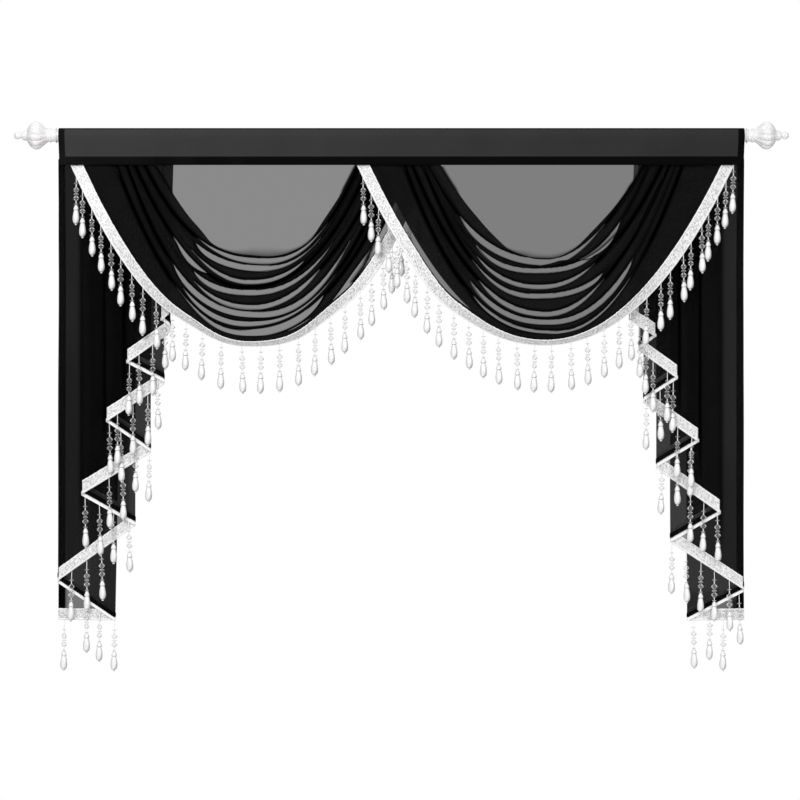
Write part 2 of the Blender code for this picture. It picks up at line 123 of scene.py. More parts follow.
def finish_piece(bm: bmesh.types.BMesh, name: str, is_smooth: bool = True) -> Piece:
    """Turns a bmesh into a finished object at the origin.

    Args:
        bm: the mesh, which is freed.
        name: the new object's name.
        is_smooth: whether its faces are shaded smooth.

    Returns:
        The object, linked to the scene.
    """
    mesh = bpy.data.meshes.new(name)
    bm.to_mesh(mesh)
    bm.free()
    if is_smooth:
        mesh.shade_smooth()
    piece = bpy.data.objects.new(name, mesh)
    bpy.context.scene.collection.objects.link(piece)
    return piece


def woven_sheet(name: str, rows: Sequence[Line],
                shades: Sequence[Sequence[float]] | None = None) -> Piece:
    """A sheet of cloth through rows of points, with a UV map in metres of cloth.

    Args:
        name: the new object's name.
        rows: the lines that the cloth passes through, from its top to its hem, all with
            the same count of points from left to right.
        shades: a value for each of the points, which finishes read as "Shade": painted
        shade on the voile, and the cords on the braid.

    Returns:
        The sheet, facing forward.
    """
    last_row = len(rows) - 1
    last_column = len(rows[0]) - 1
    bm = bmesh.new()
    bmesh.ops.create_grid(bm, x_segments=last_column, y_segments=last_row, size=1.0)
    widest = max(rows, key=lambda line: lengths_along(line)[-1])
    across = lengths_along(widest)
    down = lengths_along([row[last_column // 2] for row in rows])
    places = {}
    shade = bm.verts.layers.float.new("Shade")
    for vert in bm.verts:
        i = round((vert.co.x + 1) / 2 * last_column)
        j = round((1 - vert.co.y) / 2 * last_row)
        places[vert.index] = (across[i], -down[j])
        vert.co = rows[j][i]
        vert[shade] = shades[j][i] if shades else 0.0
    bm.verts.index_update()
    uv = bm.loops.layers.uv.new("Cloth")
    for face in bm.faces:
        for loop in face.loops:
            loop[uv].uv = places[loop.vert.index]
    return finish_piece(bm, name)


def thicken(piece: Piece, thickness: float, offset: float = -1.0) -> None:
    """Gives a sheet its thickness.

    Args:
        piece: the sheet.
        thickness: in metres.
        offset: -1 puts it all behind the face and 0 on both sides.
    """
    solidify = piece.modifiers.new("Thickness", "SOLIDIFY")
    solidify.thickness = thickness
    solidify.offset = offset
    solidify.use_quality_normals = True


def spun(outline: Sequence[tuple[float, float]], sides: int) -> bmesh.types.BMesh:
    """A closed turned shape about the Z axis.

    Args:
        outline: its points as (radius, z), from one end to the other.
        sides: how many flat sides it gets.

    Returns:
        The new bmesh, with its normals outward.
    """
    bm = bmesh.new()
    verts = [bm.verts.new((radius, 0.0, z)) for radius, z in outline]
    edges = [bm.edges.new(pair) for pair in pairwise(verts)]
    bmesh.ops.spin(
        bm, geom=verts + edges, cent=(0.0, 0.0, 0.0), axis=(0.0, 0.0, 1.0),
        angle=2 * math.pi, steps=sides, use_merge=True,
    )
    bmesh.ops.remove_doubles(bm, verts=bm.verts, dist=1e-6)
    bmesh.ops.recalc_face_normals(bm, faces=bm.faces)
    return bm


# ---- finishes


def preset(node: Node, **values: float | tuple) -> None:
    """Sets a node's inputs to constants, by name with _ for a space."""
    for key, value in values.items():
        node.inputs[key.replace("_", " ")].default_value = value


def grey(level: float, tint: float = 1.0) -> tuple[float, float, float]:
    """A grey, with its blue part multiplied by a tint."""
    return (level, level, level * tint)


class Nodes:
    """A material's or a node group's tree, with short calls to grow it."""

    def __init__(self, tree: Tree) -> None:
        """Takes the tree to grow."""
        self.tree = tree

    def add(self, kind: str, **values: object) -> Node:
        """Adds a node.

        Args:
            kind: the node's type name without the leading ShaderNode.
            values: properties of the node, set by name.

        Returns:
            The new node.
        """
        node = self.tree.nodes.new("ShaderNode" + kind)
        for key, value in values.items():
            setattr(node, key, value)
        return node

    def link(self, source: Socket, target: Socket) -> None:
        """Joins two sockets."""
        self.tree.links.new(source, target)

    def feed(self, node: Node, **sources: Socket) -> None:
        """Joins sockets to a node's inputs, by name with _ for a space."""
        for key, source in sources.items():
            self.link(source, node.inputs[key.replace("_", " ")])

    def math(self, operation: str, *inputs: float | Socket) -> Socket:
        """Adds a Math node.

        Args:
            operation: the node's operation.
            inputs: numbers, or sockets to join to it.

        Returns:
            The node's output.
        """
        node = self.add("Math", operation=operation)
        for socket, value in zip(node.inputs, inputs):
            if isinstance(value, Socket):
                self.link(value, socket)
            else:
                socket.default_value = value
        return node.outputs[0]

    def ramp(self, source: Socket, low: float, high: float,
             to_low: float = 0.0, to_high: float = 1.0) -> Socket:
        """Carries a value from one range to another, held at the ends.

        Args:
            source: the value.
            low: where the first range starts.
            high: where it ends.
            to_low: what low becomes.
            to_high: what high becomes.

        Returns:
            The new value.
        """
        node = self.add("MapRange")
        preset(node, From_Min=low, From_Max=high, To_Min=to_low, To_Max=to_high)
        self.feed(node, Value=source)
        return node.outputs["Result"]

    def mix(self, share: Socket, first: Sequence[float], second: Sequence[float]) -> Socket:
        """Mixes two colours.

        Args:
            share: how much of the second.
            first: a colour.
            second: a colour.

        Returns:
            The mixed colour.
        """
        node = self.add("Mix", data_type="RGBA")
        self.link(share, node.inputs[0])
        node.inputs[6].default_value = (*first, 1.0)
        node.inputs[7].default_value = (*second, 1.0)
        return node.outputs[2]

    def noise(self, vector: Socket, scale: float, detail: float) -> Socket:
        """A noise pattern's value, around one half.

        Args:
            vector: the coordinates it reads.
            scale: its spots for each metre.
            detail: how many finer layers it has.

        Returns:
            The value.
        """
        node = self.add("TexNoise")
        preset(node, Scale=scale, Detail=detail)
        self.feed(node, Vector=vector)
        return node.outputs["Fac"]

    def bump(self, height: Socket, strength: float, distance: float) -> Socket:
        """A Bump node's normal.

        Args:
            height: the height pattern.
            strength: how strongly it shows.
            distance: the height that 1 stands for, in metres.

        Returns:
            The normal.
        """
        node = self.add("Bump")
        preset(node, Strength=strength, Distance=distance)
        self.feed(node, Height=height)
        return node.outputs["Normal"]

    def group(self, made: Tree, vector: Socket, **values: float) -> Node:
        """Places a shader node group.

        Args:
            made: the group.
            vector: the coordinates that it reads.
            values: its other inputs, by name with _ for a space.

        Returns:
            The group's node.
        """
        node = self.add("Group")
        node.node_tree = made
        preset(node, **values)
        self.feed(node, Vector=vector)
        return node

    def place(self) -> Socket:
        """The place on the piece, in metres."""
        return self.add("TexCoord").outputs["Object"]

    def cloth(self) -> Socket:
        """The place on the cloth, in metres of cloth."""
        return self.add("UVMap", uv_map="Cloth").outputs["UV"]

    def shade(self) -> Socket:
        """The value that a sheet's points carry: painted shade, or a braid's cords."""
        return self.add("Attribute", attribute_name="Shade").outputs["Fac"]

    def cloud(self, vector: Socket, scale: float) -> Socket:
        """Soft cloudy variation from 0 to 1, with its spots for each metre."""
        return self.group(Groups.mottle(), vector, Scale=scale).outputs["Cloud"]

    def facing(self) -> Socket:
        """How far a face turns away from the viewer.

        Returns:
            0 where it faces the viewer, and 1 at its rim.
        """
        node = self.add("LayerWeight")
        preset(node, Blend=0.5)
        return node.outputs["Facing"]

    def leaning(self, way: tuple[float, float, float]) -> Socket:
        """How far a face leans a way.

        Args:
            way: the direction.

        Returns:
            1 where it faces that way, and -1 where it faces the other way.
        """
        node = self.add("VectorMath", operation="DOT_PRODUCT")
        self.link(self.add("NewGeometry").outputs["Normal"], node.inputs[0])
        node.inputs[1].default_value = way
        return node.outputs["Value"]


class Groups:
    """The node groups that more than one finish uses, each built once."""

    made: dict[str, Tree] = {}

    @classmethod
    def start(cls, name: str, inputs: dict[str, float], outputs: Sequence[str],
              ) -> tuple[Nodes, Node, Node]:
        """Starts a group with a Vector input.

        Args:
            name: its name.
            inputs: its other inputs and their defaults.
            outputs: its outputs.

        Returns:
            The group's nodes, its input node and its output node.
        """
        tree = bpy.data.node_groups.new(name, "ShaderNodeTree")
        face = tree.interface
        face.new_socket("Vector", in_out="INPUT", socket_type="NodeSocketVector")
        for key, value in inputs.items():
            socket = face.new_socket(key, in_out="INPUT", socket_type="NodeSocketFloat")
            socket.default_value = value
        for key in outputs:
            face.new_socket(key, in_out="OUTPUT", socket_type="NodeSocketFloat")
        cls.made[name] = tree
        return Nodes(tree), tree.nodes.new("NodeGroupInput"), tree.nodes.new("NodeGroupOutput")

    @classmethod
    def weave(cls) -> Tree:
        """Plain weave: two sets of threads that take turns on top, a little uneven.

        Returns:
            The group, with its outputs Height and Slubs.
        """
        name = "Plain weave"
        if name not in cls.made:
            nodes, given, result = cls.start(
                name, {"Thread": 0.0006, "Slub": 0.3}, ["Height", "Slubs"])
            split = nodes.add("SeparateXYZ")
            nodes.link(given.outputs["Vector"], split.inputs[0])
            turns = nodes.math("DIVIDE", math.pi, given.outputs["Thread"])
            warp = nodes.math("SINE", nodes.math("MULTIPLY", split.outputs[0], turns))
            weft = nodes.math("SINE", nodes.math("MULTIPLY", split.outputs[1], turns))
            crossing = nodes.math("MULTIPLY", nodes.math("MULTIPLY", warp, weft), 0.5)
            slubs = nodes.noise(given.outputs["Vector"], 260.0, 3.0)
            uneven = nodes.math("MULTIPLY", slubs, given.outputs["Slub"])
            nodes.feed(result, Height=nodes.math("ADD", crossing, uneven), Slubs=slubs)
        return cls.made[name]

    @classmethod
    def mottle(cls) -> Tree:
        """Soft cloudy variation, from 0 to 1.

        Returns:
            The group, with its output Cloud.
        """
        name = "Mottle"
        if name not in cls.made:
            nodes, given, result = cls.start(name, {"Scale": 20.0}, ["Cloud"])
            pattern = nodes.add("TexNoise")
            preset(pattern, Detail=3.0)
            nodes.feed(pattern, Vector=given.outputs["Vector"], Scale=given.outputs["Scale"])
            nodes.feed(result, Cloud=nodes.ramp(pattern.outputs["Fac"], 0.3, 0.7))
        return cls.made[name]


class Finish:
    """The base of every finish: a Principled material that is built once."""

    name = "finish"

    def material(self) -> bpy.types.Material:
        """The finish's material, made the first time it is asked for.

        Returns:
            The material.
        """
        found = bpy.data.materials.get(self.name)
        if found:
            return found
        made = bpy.data.materials.new(self.name)
        made.use_nodes = True
        self.dress(Nodes(made.node_tree), made.node_tree.nodes["Principled BSDF"])
        return made

    def dress(self, nodes: Nodes, shader: Node) -> None:
        """Fills the material's tree.

        Args:
            nodes: the tree.
            shader: its Principled shader.
        """
        raise NotImplementedError

    def put_on(self, piece: Piece) -> None:
        """Gives a piece this finish alone."""
        piece.data.materials.clear()
        piece.data.materials.append(self.material())


@dataclass(frozen=True)
class SheerVoile(Finish):
    """Black voile that one layer of leaves half see-through.

    Attributes:
        name: the material's name.
        covers: how much the front layer hides, then the second, the third, and each layer
            behind that.
        thread: the spacing of its threads.
        lit: its brightness where it is not shaded.
    """

    name: str = "black voile"
    covers: tuple[float, float, float, float] = (0.752, 0.855, 0.930, 0.930)
    thread: float = 0.0007
    lit: float = 0.0084

    def dress(self, nodes: Nodes, shader: Node) -> None:
        """A fine weave that the painted shade of the creases darkens and closes.

        Args:
            nodes: the tree.
            shader: its Principled shader.
        """
        preset(shader, Roughness=0.85, Specular_IOR_Level=0.0)
        uv = nodes.cloth()
        weave = nodes.group(Groups.weave(), uv, Thread=self.thread, Slub=0.5)
        layer = nodes.add("LightPath").outputs["Transparent Depth"]
        cover = nodes.ramp(weave.outputs["Slubs"], 0.3, 0.7, -0.010, 0.010)
        cover = nodes.math("ADD", cover, self.covers[0])
        for depth, (near, far) in enumerate(pairwise(self.covers)):
            cover = nodes.math("ADD", cover, nodes.ramp(layer, depth, depth + 1, 0.0, far - near))
        clear = nodes.math("SUBTRACT", 1.0, nodes.shade())
        seen_through = nodes.math("MULTIPLY", nodes.math("SUBTRACT", 1.0, cover), clear)
        tone = nodes.mix(nodes.cloud(uv, 22.0), grey(self.lit * 0.85, 1.04),
                         grey(self.lit * 1.15, 1.04))
        dim = nodes.add("Mix", data_type="RGBA", blend_type="MULTIPLY")
        dim.inputs[0].default_value = 1.0
        nodes.link(tone, dim.inputs[6])
        nodes.link(clear, dim.inputs[7])
        nodes.feed(shader, Base_Color=dim.outputs[2],
                   Alpha=nodes.math("SUBTRACT", 1.0, seen_through),
                   Normal=nodes.bump(weave.outputs["Height"], 0.12, 0.0002))


@dataclass(frozen=True)
class HeadingCloth(Finish):
    """Dense black cloth, darker where the hems and the strip double it, with painted shade
    along the top, where it turns over the rod.
    """

    name: str = "dense heading cloth"
    hem_width: float = 0.0140
    half_width: float = 0.7500
    stitch_z: float = -0.0462
    top_z: float = 0.0125

    def dress(self, nodes: Nodes, shader: Node) -> None:
        """A weave over two tones, a little lighter towards the left end.

        Args:
            nodes: the tree.
            shader: its Principled shader.
        """
        preset(shader, Roughness=0.85, Specular_IOR_Level=0.05)
        place = nodes.place()
        split = nodes.add("SeparateXYZ")
        nodes.link(place, split.inputs[0])
        x, z = split.outputs[0], split.outputs[2]
        inner = self.half_width - self.hem_width
        in_hem = nodes.ramp(nodes.math("ABSOLUTE", x), inner - 0.0008, inner + 0.0012)
        in_strip = nodes.ramp(z, self.stitch_z - 0.0012, self.stitch_z + 0.0016, 1.0, 0.0)
        # painted shade: a thin dark line along the top, where the cloth turns over the rod
        at_top = nodes.ramp(z, self.top_z - 0.0005, self.top_z + 0.0015)
        dark = nodes.math("MAXIMUM", nodes.math("MAXIMUM", in_hem, in_strip), at_top)
        weave = nodes.group(Groups.weave(), nodes.cloth(), Thread=0.0008, Slub=0.6)
        along = nodes.ramp(x, -self.half_width, self.half_width, 0.0, 0.33)
        cloudy = nodes.math("MULTIPLY", nodes.cloud(place, 9.0), 0.10)
        varied = nodes.math("ADD", nodes.math("MULTIPLY", dark, 0.86),
                            nodes.math("ADD", cloudy, along))
        tone = nodes.mix(varied, (0.0470, 0.0470, 0.0478), (0.0018, 0.0018, 0.0020))
        nodes.feed(shader, Base_Color=tone,
                   Normal=nodes.bump(weave.outputs["Height"], 0.25, 0.0003))


@dataclass(frozen=True)
class GlitterBraid(Finish):
    """White braid covered in small glitter scales between two clean cords."""

    name: str = "white glitter braid"
    scales_per_metre: float = 470.0

    def dress(self, nodes: Nodes, shader: Node) -> None:
        """Scales of slightly different whites and gloss, with the cords left plain.

        Args:
            nodes: the tree.
            shader: its Principled shader.
        """
        preset(shader, Coat_Weight=0.25, Coat_Roughness=0.2)
        uv = nodes.cloth()
        scales = nodes.add("TexVoronoi")
        preset(scales, Scale=self.scales_per_metre)
        nodes.feed(scales, Vector=uv)
        split = nodes.add("SeparateColor")
        nodes.link(scales.outputs["Color"], split.inputs[0])
        grain = nodes.ramp(nodes.noise(uv, 300.0, 1.0), 0.3, 0.7)
        mixed = nodes.math("ADD", nodes.math("MULTIPLY", split.outputs[0], 0.88),
                           nodes.math("MULTIPLY", grain, 0.12))
        bright = nodes.math("MAXIMUM", nodes.ramp(mixed, 0.02, 0.62, 0.0, 0.84), nodes.shade())
        nodes.feed(shader,
                   Base_Color=nodes.mix(bright, (0.36, 0.36, 0.365), grey(0.98)),
                   Roughness=nodes.ramp(split.outputs[1], 0.0, 1.0, 0.2, 0.6),
                   Normal=nodes.bump(scales.outputs["Distance"], 0.4, 0.0010))


@dataclass(frozen=True)
class WhiteCord(Finish):
    """White thread, tape and twisted edging."""

    name: str = "white cord"

    def dress(self, nodes: Nodes, shader: Node) -> None:
        """A soft white with a fine twist.

        Args:
            nodes: the tree.
            shader: its Principled shader.
        """
        preset(shader, Roughness=0.55)
        weave = nodes.group(Groups.weave(), nodes.place(), Thread=0.0009, Slub=0.6)
        slubs = nodes.ramp(weave.outputs["Slubs"], 0.3, 0.7)
        nodes.feed(shader, Base_Color=nodes.mix(slubs, grey(0.90), grey(0.98)),
                   Normal=nodes.bump(weave.outputs["Height"], 0.3, 0.0003))


@dataclass(frozen=True)
class PearlGloss(Finish):
    """The pearl coating of the drops."""

    name: str = "pearl coating"

    def dress(self, nodes: Nodes, shader: Node) -> None:
        """A white gloss with painted shade that greys it where it turns away or faces down,
        and a faint cloudy depth.

        Args:
            nodes: the tree.
            shader: its Principled shader.
        """
        preset(shader, Coat_Weight=0.7, Coat_Roughness=0.12, Specular_IOR_Level=0.6)
        cloud = nodes.cloud(nodes.place(), 180.0)
        # painted shade: grey towards the rim and on the faces that lean down
        rim = nodes.ramp(nodes.facing(), 0.40, 0.85, 0.0, 0.75)
        under = nodes.ramp(nodes.leaning((0.62, 0.0, -0.78)), 0.20, 0.92)
        varied = nodes.math("ADD", nodes.math("MAXIMUM", rim, under),
                            nodes.math("MULTIPLY", cloud, 0.1))
        nodes.feed(shader, Base_Color=nodes.mix(varied, grey(0.93), grey(0.36)),
                   Roughness=nodes.ramp(cloud, 0.0, 1.0, 0.2, 0.32))


@dataclass(frozen=True)
class CutCrystal(Finish):
    """The cut crystal and clear disc beads, with a painted glow towards their edges."""

    name: str = "cut crystal"

    def dress(self, nodes: Nodes, shader: Node) -> None:
        """Clear in the middle, with a painted glow where the rim faces up and painted shade
        where it faces down.

        Args:
            nodes: the tree.
            shader: its Principled shader.
        """
        # the emission is a painted glow on the rim, and the grey where it faces down is painted
        # shade
        preset(shader, IOR=1.5, Specular_IOR_Level=0.8, Emission_Strength=0.7)
        cloud = nodes.cloud(nodes.place(), 260.0)
        under = nodes.ramp(nodes.leaning((0.50, 0.0, -0.87)), 0.1, 0.6)
        rim = nodes.ramp(nodes.facing(), 0.36, 0.54)
        cover = nodes.math("ADD", nodes.math("MULTIPLY", rim, 0.80), 0.10)
        bright = nodes.math("MULTIPLY", rim, nodes.math("SUBTRACT", 1.0, under))
        nodes.feed(shader, Base_Color=nodes.mix(under, grey(0.56), grey(0.32)),
                   Roughness=nodes.ramp(cloud, 0.0, 1.0, 0.08, 0.2),
                   Alpha=nodes.math("ADD", cover, nodes.math("MULTIPLY", cloud, 0.06)),
                   Emission_Color=nodes.mix(bright, grey(0.03), grey(0.50)))


@dataclass(frozen=True)
class CloudyFinish(Finish):
    """The base of the plain finishes: two close tones in soft clouds.

    Attributes:
        name: the material's name.
        scale: the clouds' spots for each metre.
        tones: the two tones.
    """

    name: str = "cloudy finish"
    scale: float = 20.0
    tones: tuple[Sequence[float], Sequence[float]] = (grey(0.8), grey(0.9))

    def clouded(self, nodes: Nodes, shader: Node) -> Socket:
        """Gives the shader its two tones.

        Args:
            nodes: the tree.
            shader: its Principled shader.

        Returns:
            The clouds.
        """
        cloud = nodes.cloud(nodes.place(), self.scale)
        nodes.feed(shader, Base_Color=nodes.mix(cloud, *self.tones))
        return cloud


@dataclass(frozen=True)
class PoleEnamel(CloudyFinish):
    """White enamel on the rod."""

    name: str = "white enamel"
    scale: float = 45.0
    tones: tuple = (grey(0.78), grey(0.86))

    def dress(self, nodes: Nodes, shader: Node) -> None:
        """A gloss with faint unevenness.

        Args:
            nodes: the tree.
            shader: its Principled shader.
        """
        preset(shader, Coat_Weight=0.5, Coat_Roughness=0.1)
        cloud = self.clouded(nodes, shader)
        nodes.feed(shader, Roughness=nodes.ramp(cloud, 0.0, 1.0, 0.22, 0.36),
                   Normal=nodes.bump(cloud, 0.08, 0.0003))


@dataclass(frozen=True)
class FinialGlaze(CloudyFinish):
    """The pearly, slightly see-through white of the finials."""

    name: str = "finial glaze"
    scale: float = 70.0
    tones: tuple = ((0.86, 0.86, 0.87), grey(0.95))

    def dress(self, nodes: Nodes, shader: Node) -> None:
        """A bright gloss with a faint cloudy body.

        Args:
            nodes: the tree.
            shader: its Principled shader.
        """
        preset(shader, Coat_Weight=1.0, Coat_Roughness=0.04, Subsurface_Weight=0.25,
               Subsurface_Scale=0.006, Specular_IOR_Level=0.7)
        cloud = self.clouded(nodes, shader)
        nodes.feed(shader, Roughness=nodes.ramp(cloud, 0.0, 1.0, 0.12, 0.24))


@dataclass(frozen=True)
class StudioFloor(CloudyFinish):
    """The plain pale floor."""

    name: str = "studio floor"
    scale: float = 3.0
    tones: tuple = (grey(0.86), grey(0.89))

    def dress(self, nodes: Nodes, shader: Node) -> None:
        """A matt pale surface with a trace of unevenness.

        Args:
            nodes: the tree.
            shader: its Principled shader.
        """
        preset(shader, Roughness=0.9)
        self.clouded(nodes, shader)


def fit(piece: Piece, finish: Finish, node: str) -> None:
    """Dresses a piece, fixes it to the root and hides the CAD solid that it takes the place of.

    Args:
        piece: the new piece.
        finish: what it is made of.
        node: the CAD node that it stands for.
    """
    finish.put_on(piece)
    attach(piece, "root")
    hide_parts(node)


# ---- rod and finials


@dataclass
class Rod:
    """The round rod, which keeps its CAD shape."""

    node: str = "rod"

    def build(self) -> None:
        """Dresses the rod."""
        PoleEnamel().put_on(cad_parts[self.node])
        LOG.info("rod dressed")


@dataclass
class Finial:
    """One turned end piece of the rod, with a fluted bulb."""

    side: Side
    flutes: int = 12
    sides: int = 144
    bulb_start: float = 0.0175
    bulb_end: float = 0.0655
    flute_depth: float = 0.115

    # radius and place along the rod, in tenths of a millimetre
    OUTLINE = (
        (0, 0), (158, 0), (170, 6), (170, 16), (160, 24), (140, 30), (135, 45), (134, 100),
        (139, 112), (153, 120), (157, 136), (153, 152), (141, 161), (136, 170), (146, 195),
        (170, 230), (204, 270), (240, 310), (272, 350), (296, 392), (309, 436), (306, 478),
        (290, 518), (262, 556), (224, 592), (178, 622), (132, 644), (108, 656), (105, 666),
        (113, 676), (116, 690), (113, 704), (105, 714), (106, 724), (100, 742), (78, 758),
        (58, 770), (54, 786), (60, 798), (74, 812), (83, 832), (85, 856), (81, 880), (70, 904),
        (52, 922), (28, 932), (0, 935),
    )
    FLUTE_SHAPE = 0.55
    BULB_SHAPE = 0.6

    def build(self) -> Piece:
        """Spins the outline, presses the flutes into the bulb and turns it along the rod.

        Returns:
            The finial.
        """
        bm = spun([(radius / 10_000, along / 10_000) for radius, along in self.OUTLINE],
                  self.sides)
        for vert in bm.verts:
            along = (vert.co.z - self.bulb_start) / (self.bulb_end - self.bulb_start)
            if not 0 < along < 1:
                continue
            angle = math.atan2(vert.co.y, vert.co.x)
            groove = 1 - abs(math.sin(angle * self.flutes / 2)) ** self.FLUTE_SHAPE
            depth = self.flute_depth * math.sin(math.pi * along) ** self.BULB_SHAPE
            vert.co.x *= 1 - depth * groove
            vert.co.y *= 1 - depth * groove
        node = f"finial_{self.side.word}"
        near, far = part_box(node)
        start = near[0] if self.side is Side.RIGHT else far[0]
        turn = Matrix.Rotation(self.side.value * math.pi / 2, 4, "Y")
        bmesh.ops.transform(bm, matrix=Matrix.Translation((start, 0, 0)) @ turn, verts=bm.verts)
        bmesh.ops.recalc_face_normals(bm, faces=bm.faces)
        piece = finish_piece(bm, f"{node}_fluted")
        fit(piece, FinialGlaze(), node)
        return piece


# ---- heading


@dataclass
class Heading:
    """The heading: one length of dense cloth over the rod, stitched below it."""

    width: float = 1.5000
    around: float = 0.205
    pocket_radius: float = 0.0157
    stitch_z: float = -0.0450
    cloth: float = 0.0011
    apart: float = 0.62
    slack_top: float = 0.004
    slack_ease: float = 0.012
    columns: int = 300
    arc_steps: int = 16
    side_steps: int = 7
    strip_steps: int = 4

    # the cloth's unevenness: waves for each metre, lane and size
    RIPPLES = ((9, 1.0, 0.0006), (42, 2.0, 0.0003))
    FOOT_RIPPLE = (7, 3.0, 0.0004)

    def section(self) -> Line:
        """The cloth's middle line seen along the rod, from the strip's foot in front, over
        the rod, to its foot behind.

        Returns:
            The line's points, all at X 0.
        """
        half = self.cloth * self.apart
        slant = math.asin(self.pocket_radius / -self.stitch_z)
        front = [
            Vector((0, -half, between(HEADING_LOW_Z, self.stitch_z, i / self.strip_steps)))
            for i in range(self.strip_steps + 1)
        ]
        arc = []
        for i in range(self.arc_steps + 1):
            angle = math.pi + slant - (math.pi + 2 * slant) * i / self.arc_steps
            arc.append(Vector((0, math.cos(angle), math.sin(angle))) * self.pocket_radius)
        rise = [front[-1].lerp(arc[0], i / self.side_steps) for i in range(1, self.side_steps)]
        ahead = [*front, *rise, *arc[: self.arc_steps // 2 + 1]]
        return [*ahead, *(Vector((0, -p.y, p.z)) for p in reversed(ahead[:-1]))]

    def build(self) -> Piece:
        """Carries the section along the rod with soft unevenness between rod and seam.

        Returns:
            The heading.
        """
        rows = []
        for point in reversed(self.section()):
            slack = smooth((self.slack_top - point.z) / self.slack_ease)
            slack *= smooth((point.z - self.stitch_z) / self.slack_ease)
            row = []
            for i in range(self.columns + 1):
                x = self.width * (i / self.columns - 0.5)
                ripple = sum(size * wander(x * waves, lane, point.y > 0)
                             for waves, lane, size in self.RIPPLES)
                waves, lane, size = self.FOOT_RIPPLE
                foot = size * wander(x * waves, lane) if point.z <= HEADING_LOW_Z else 0.0
                out = math.copysign(1, point.y) * slack * abs(ripple)
                row.append(Vector((x, point.y + out, point.z - abs(foot))))
            rows.append(row)
        piece = woven_sheet("heading_cloth_length", rows)
        thicken(piece, self.cloth, offset=0.0)
        fit(piece, HeadingCloth(), "heading")
        return piece


# ---- hems, braid and beads


@dataclass(frozen=True)
class HemSpot:
    """A place along a hem, with the directions that its braid follows.

    Attributes:
        point: where the braid's upper edge lies on the cloth.
        across: the unit direction from that edge to the braid's lower edge.
        out: the unit direction out of the cloth's face.
        height: how wide the braid is here along across.
    """

    point: Vector
    across: Vector
    out: Vector
    height: float = 0.0250


Hem = Sequence[HemSpot]


@dataclass
class Braid:
    """A flat braid with a corded edge along both sides, sewn on a hem's face."""

    name: str
    node: str
    seed: int = 0
    rise: float = 0.0011
    body: float = 0.0007
    relief: float = 0.00018
    cord: float = 0.0007
    cord_middle: float = 0.045
    cord_width: float = 0.03
    cord_edge: float = 0.125
    scaled_from: float = 0.12
    rounding: float = 0.02
    ragged: float = 0.0006
    slip: float = 0.0001

    STATIONS = (0.0, 0.02, 0.05, 0.09, 0.12, 0.15, 0.21, 0.28, 0.36, 0.44, 0.52, 0.60, 0.68,
                0.76, 0.83, 0.87, 0.90, 0.94, 0.975, 1.0)

    def cord_at(self, share: float) -> float:
        """How much of the braid's cord there is at this share of its width."""
        return smooth((self.cord_edge - min(share, 1 - share)) / self.cord_width)

    def height_at(self, share: float) -> float:
        """The braid's front over its back at this share of its width, without the scales.

        Args:
            share: a share of its width.

        Returns:
            The height there.
        """
        edge = min(share, 1 - share)
        ridge = math.exp(-(((edge - self.cord_middle) / self.cord_width) ** 2))
        return self.body * smooth(edge / self.rounding) + self.cord * ridge

    def build(self, spots: Hem) -> Piece:
        """Lays the braid along the hem.

        Args:
            spots: places about 2 mm apart along the hem.

        Returns:
            The braid.
        """
        draw = random.Random(self.seed)
        rows = []
        for share in self.STATIONS:
            row = []
            for spot in spots:
                height = self.rise + self.height_at(share)
                if self.scaled_from < share < 1 - self.scaled_from:
                    height += draw.uniform(-1, 1) * self.relief
                slide = draw.uniform(-1, 1) * (self.slip if 0 < share < 1 else self.ragged)
                row.append(spot.point + spot.across * (spot.height * share + slide)
                           + spot.out * height)
            rows.append(row)
        shades = [[self.cord_at(share)] * len(spots) for share in self.STATIONS]
        piece = woven_sheet(self.name, rows, shades)
        thicken(piece, self.body)
        fit(piece, GlitterBraid(), self.node)
        return piece


class BeadShape(Enum):
    """The kinds of bead on a drop, each as its flat sides and its outline.

    The outline runs from the bead's foot at -1 to its top at 1, each place with its share of
    the largest radius.
    """

    STEM = (8, ((-1.0, 0.6), (-0.9, 1.0), (0.9, 1.0), (1.0, 0.6)))
    DISC = (14, ((-1.0, 0.3), (-0.55, 0.86), (0.0, 1.0), (0.55, 0.86), (1.0, 0.3)))
    CRYSTAL = (8, ((-1.0, 0.26), (-0.22, 0.97), (0.0, 1.0), (0.22, 0.97), (1.0, 0.26)))
    CAP = (20, ((-1.0, 0.80), (-0.93, 0.97), (-0.7, 1.0), (-0.1, 0.84), (0.4, 0.66),
                (0.8, 0.46), (1.0, 0.34)))
    PEARL = (20, ((-1.0, 0.26), (-0.97, 0.42), (-0.9, 0.62), (-0.76, 0.82), (-0.56, 0.94),
                  (-0.3, 1.0), (-0.05, 0.99), (0.25, 0.92), (0.55, 0.81), (0.82, 0.69),
                  (0.96, 0.60), (1.0, 0.50)))
    TIP = (20, ((-1.0, 0.3), (-0.6, 0.85), (0.0, 1.0), (0.6, 0.8), (1.0, 0.4)))


@dataclass(frozen=True)
class Bead:
    """One bead of a drop.

    Attributes:
        shape: what kind it is.
        top: how far below the hem it starts.
        foot: how far below the hem it ends.
        radius: its largest radius.
    """

    shape: BeadShape
    top: float
    foot: float
    radius: float

    def turned(self) -> bmesh.types.BMesh:
        """The bead below the origin, flat-sided if it is a crystal.

        Returns:
            The bead's mesh.
        """
        sides, profile = self.shape.value
        middle = (self.top + self.foot) / 2
        half = (self.foot - self.top) / 2
        ring = [(self.radius * wide, -middle + half * high) for high, wide in profile]
        bm = spun([(0.0, ring[0][1]), *ring, (0.0, ring[-1][1])], sides)
        is_crystal = self.shape is BeadShape.CRYSTAL
        if is_crystal:
            turn = Matrix.Rotation(math.pi / sides, 4, "Z")
            bmesh.ops.transform(bm, matrix=turn, verts=bm.verts)
        for face in bm.faces:
            face.smooth = not is_crystal
        return bm


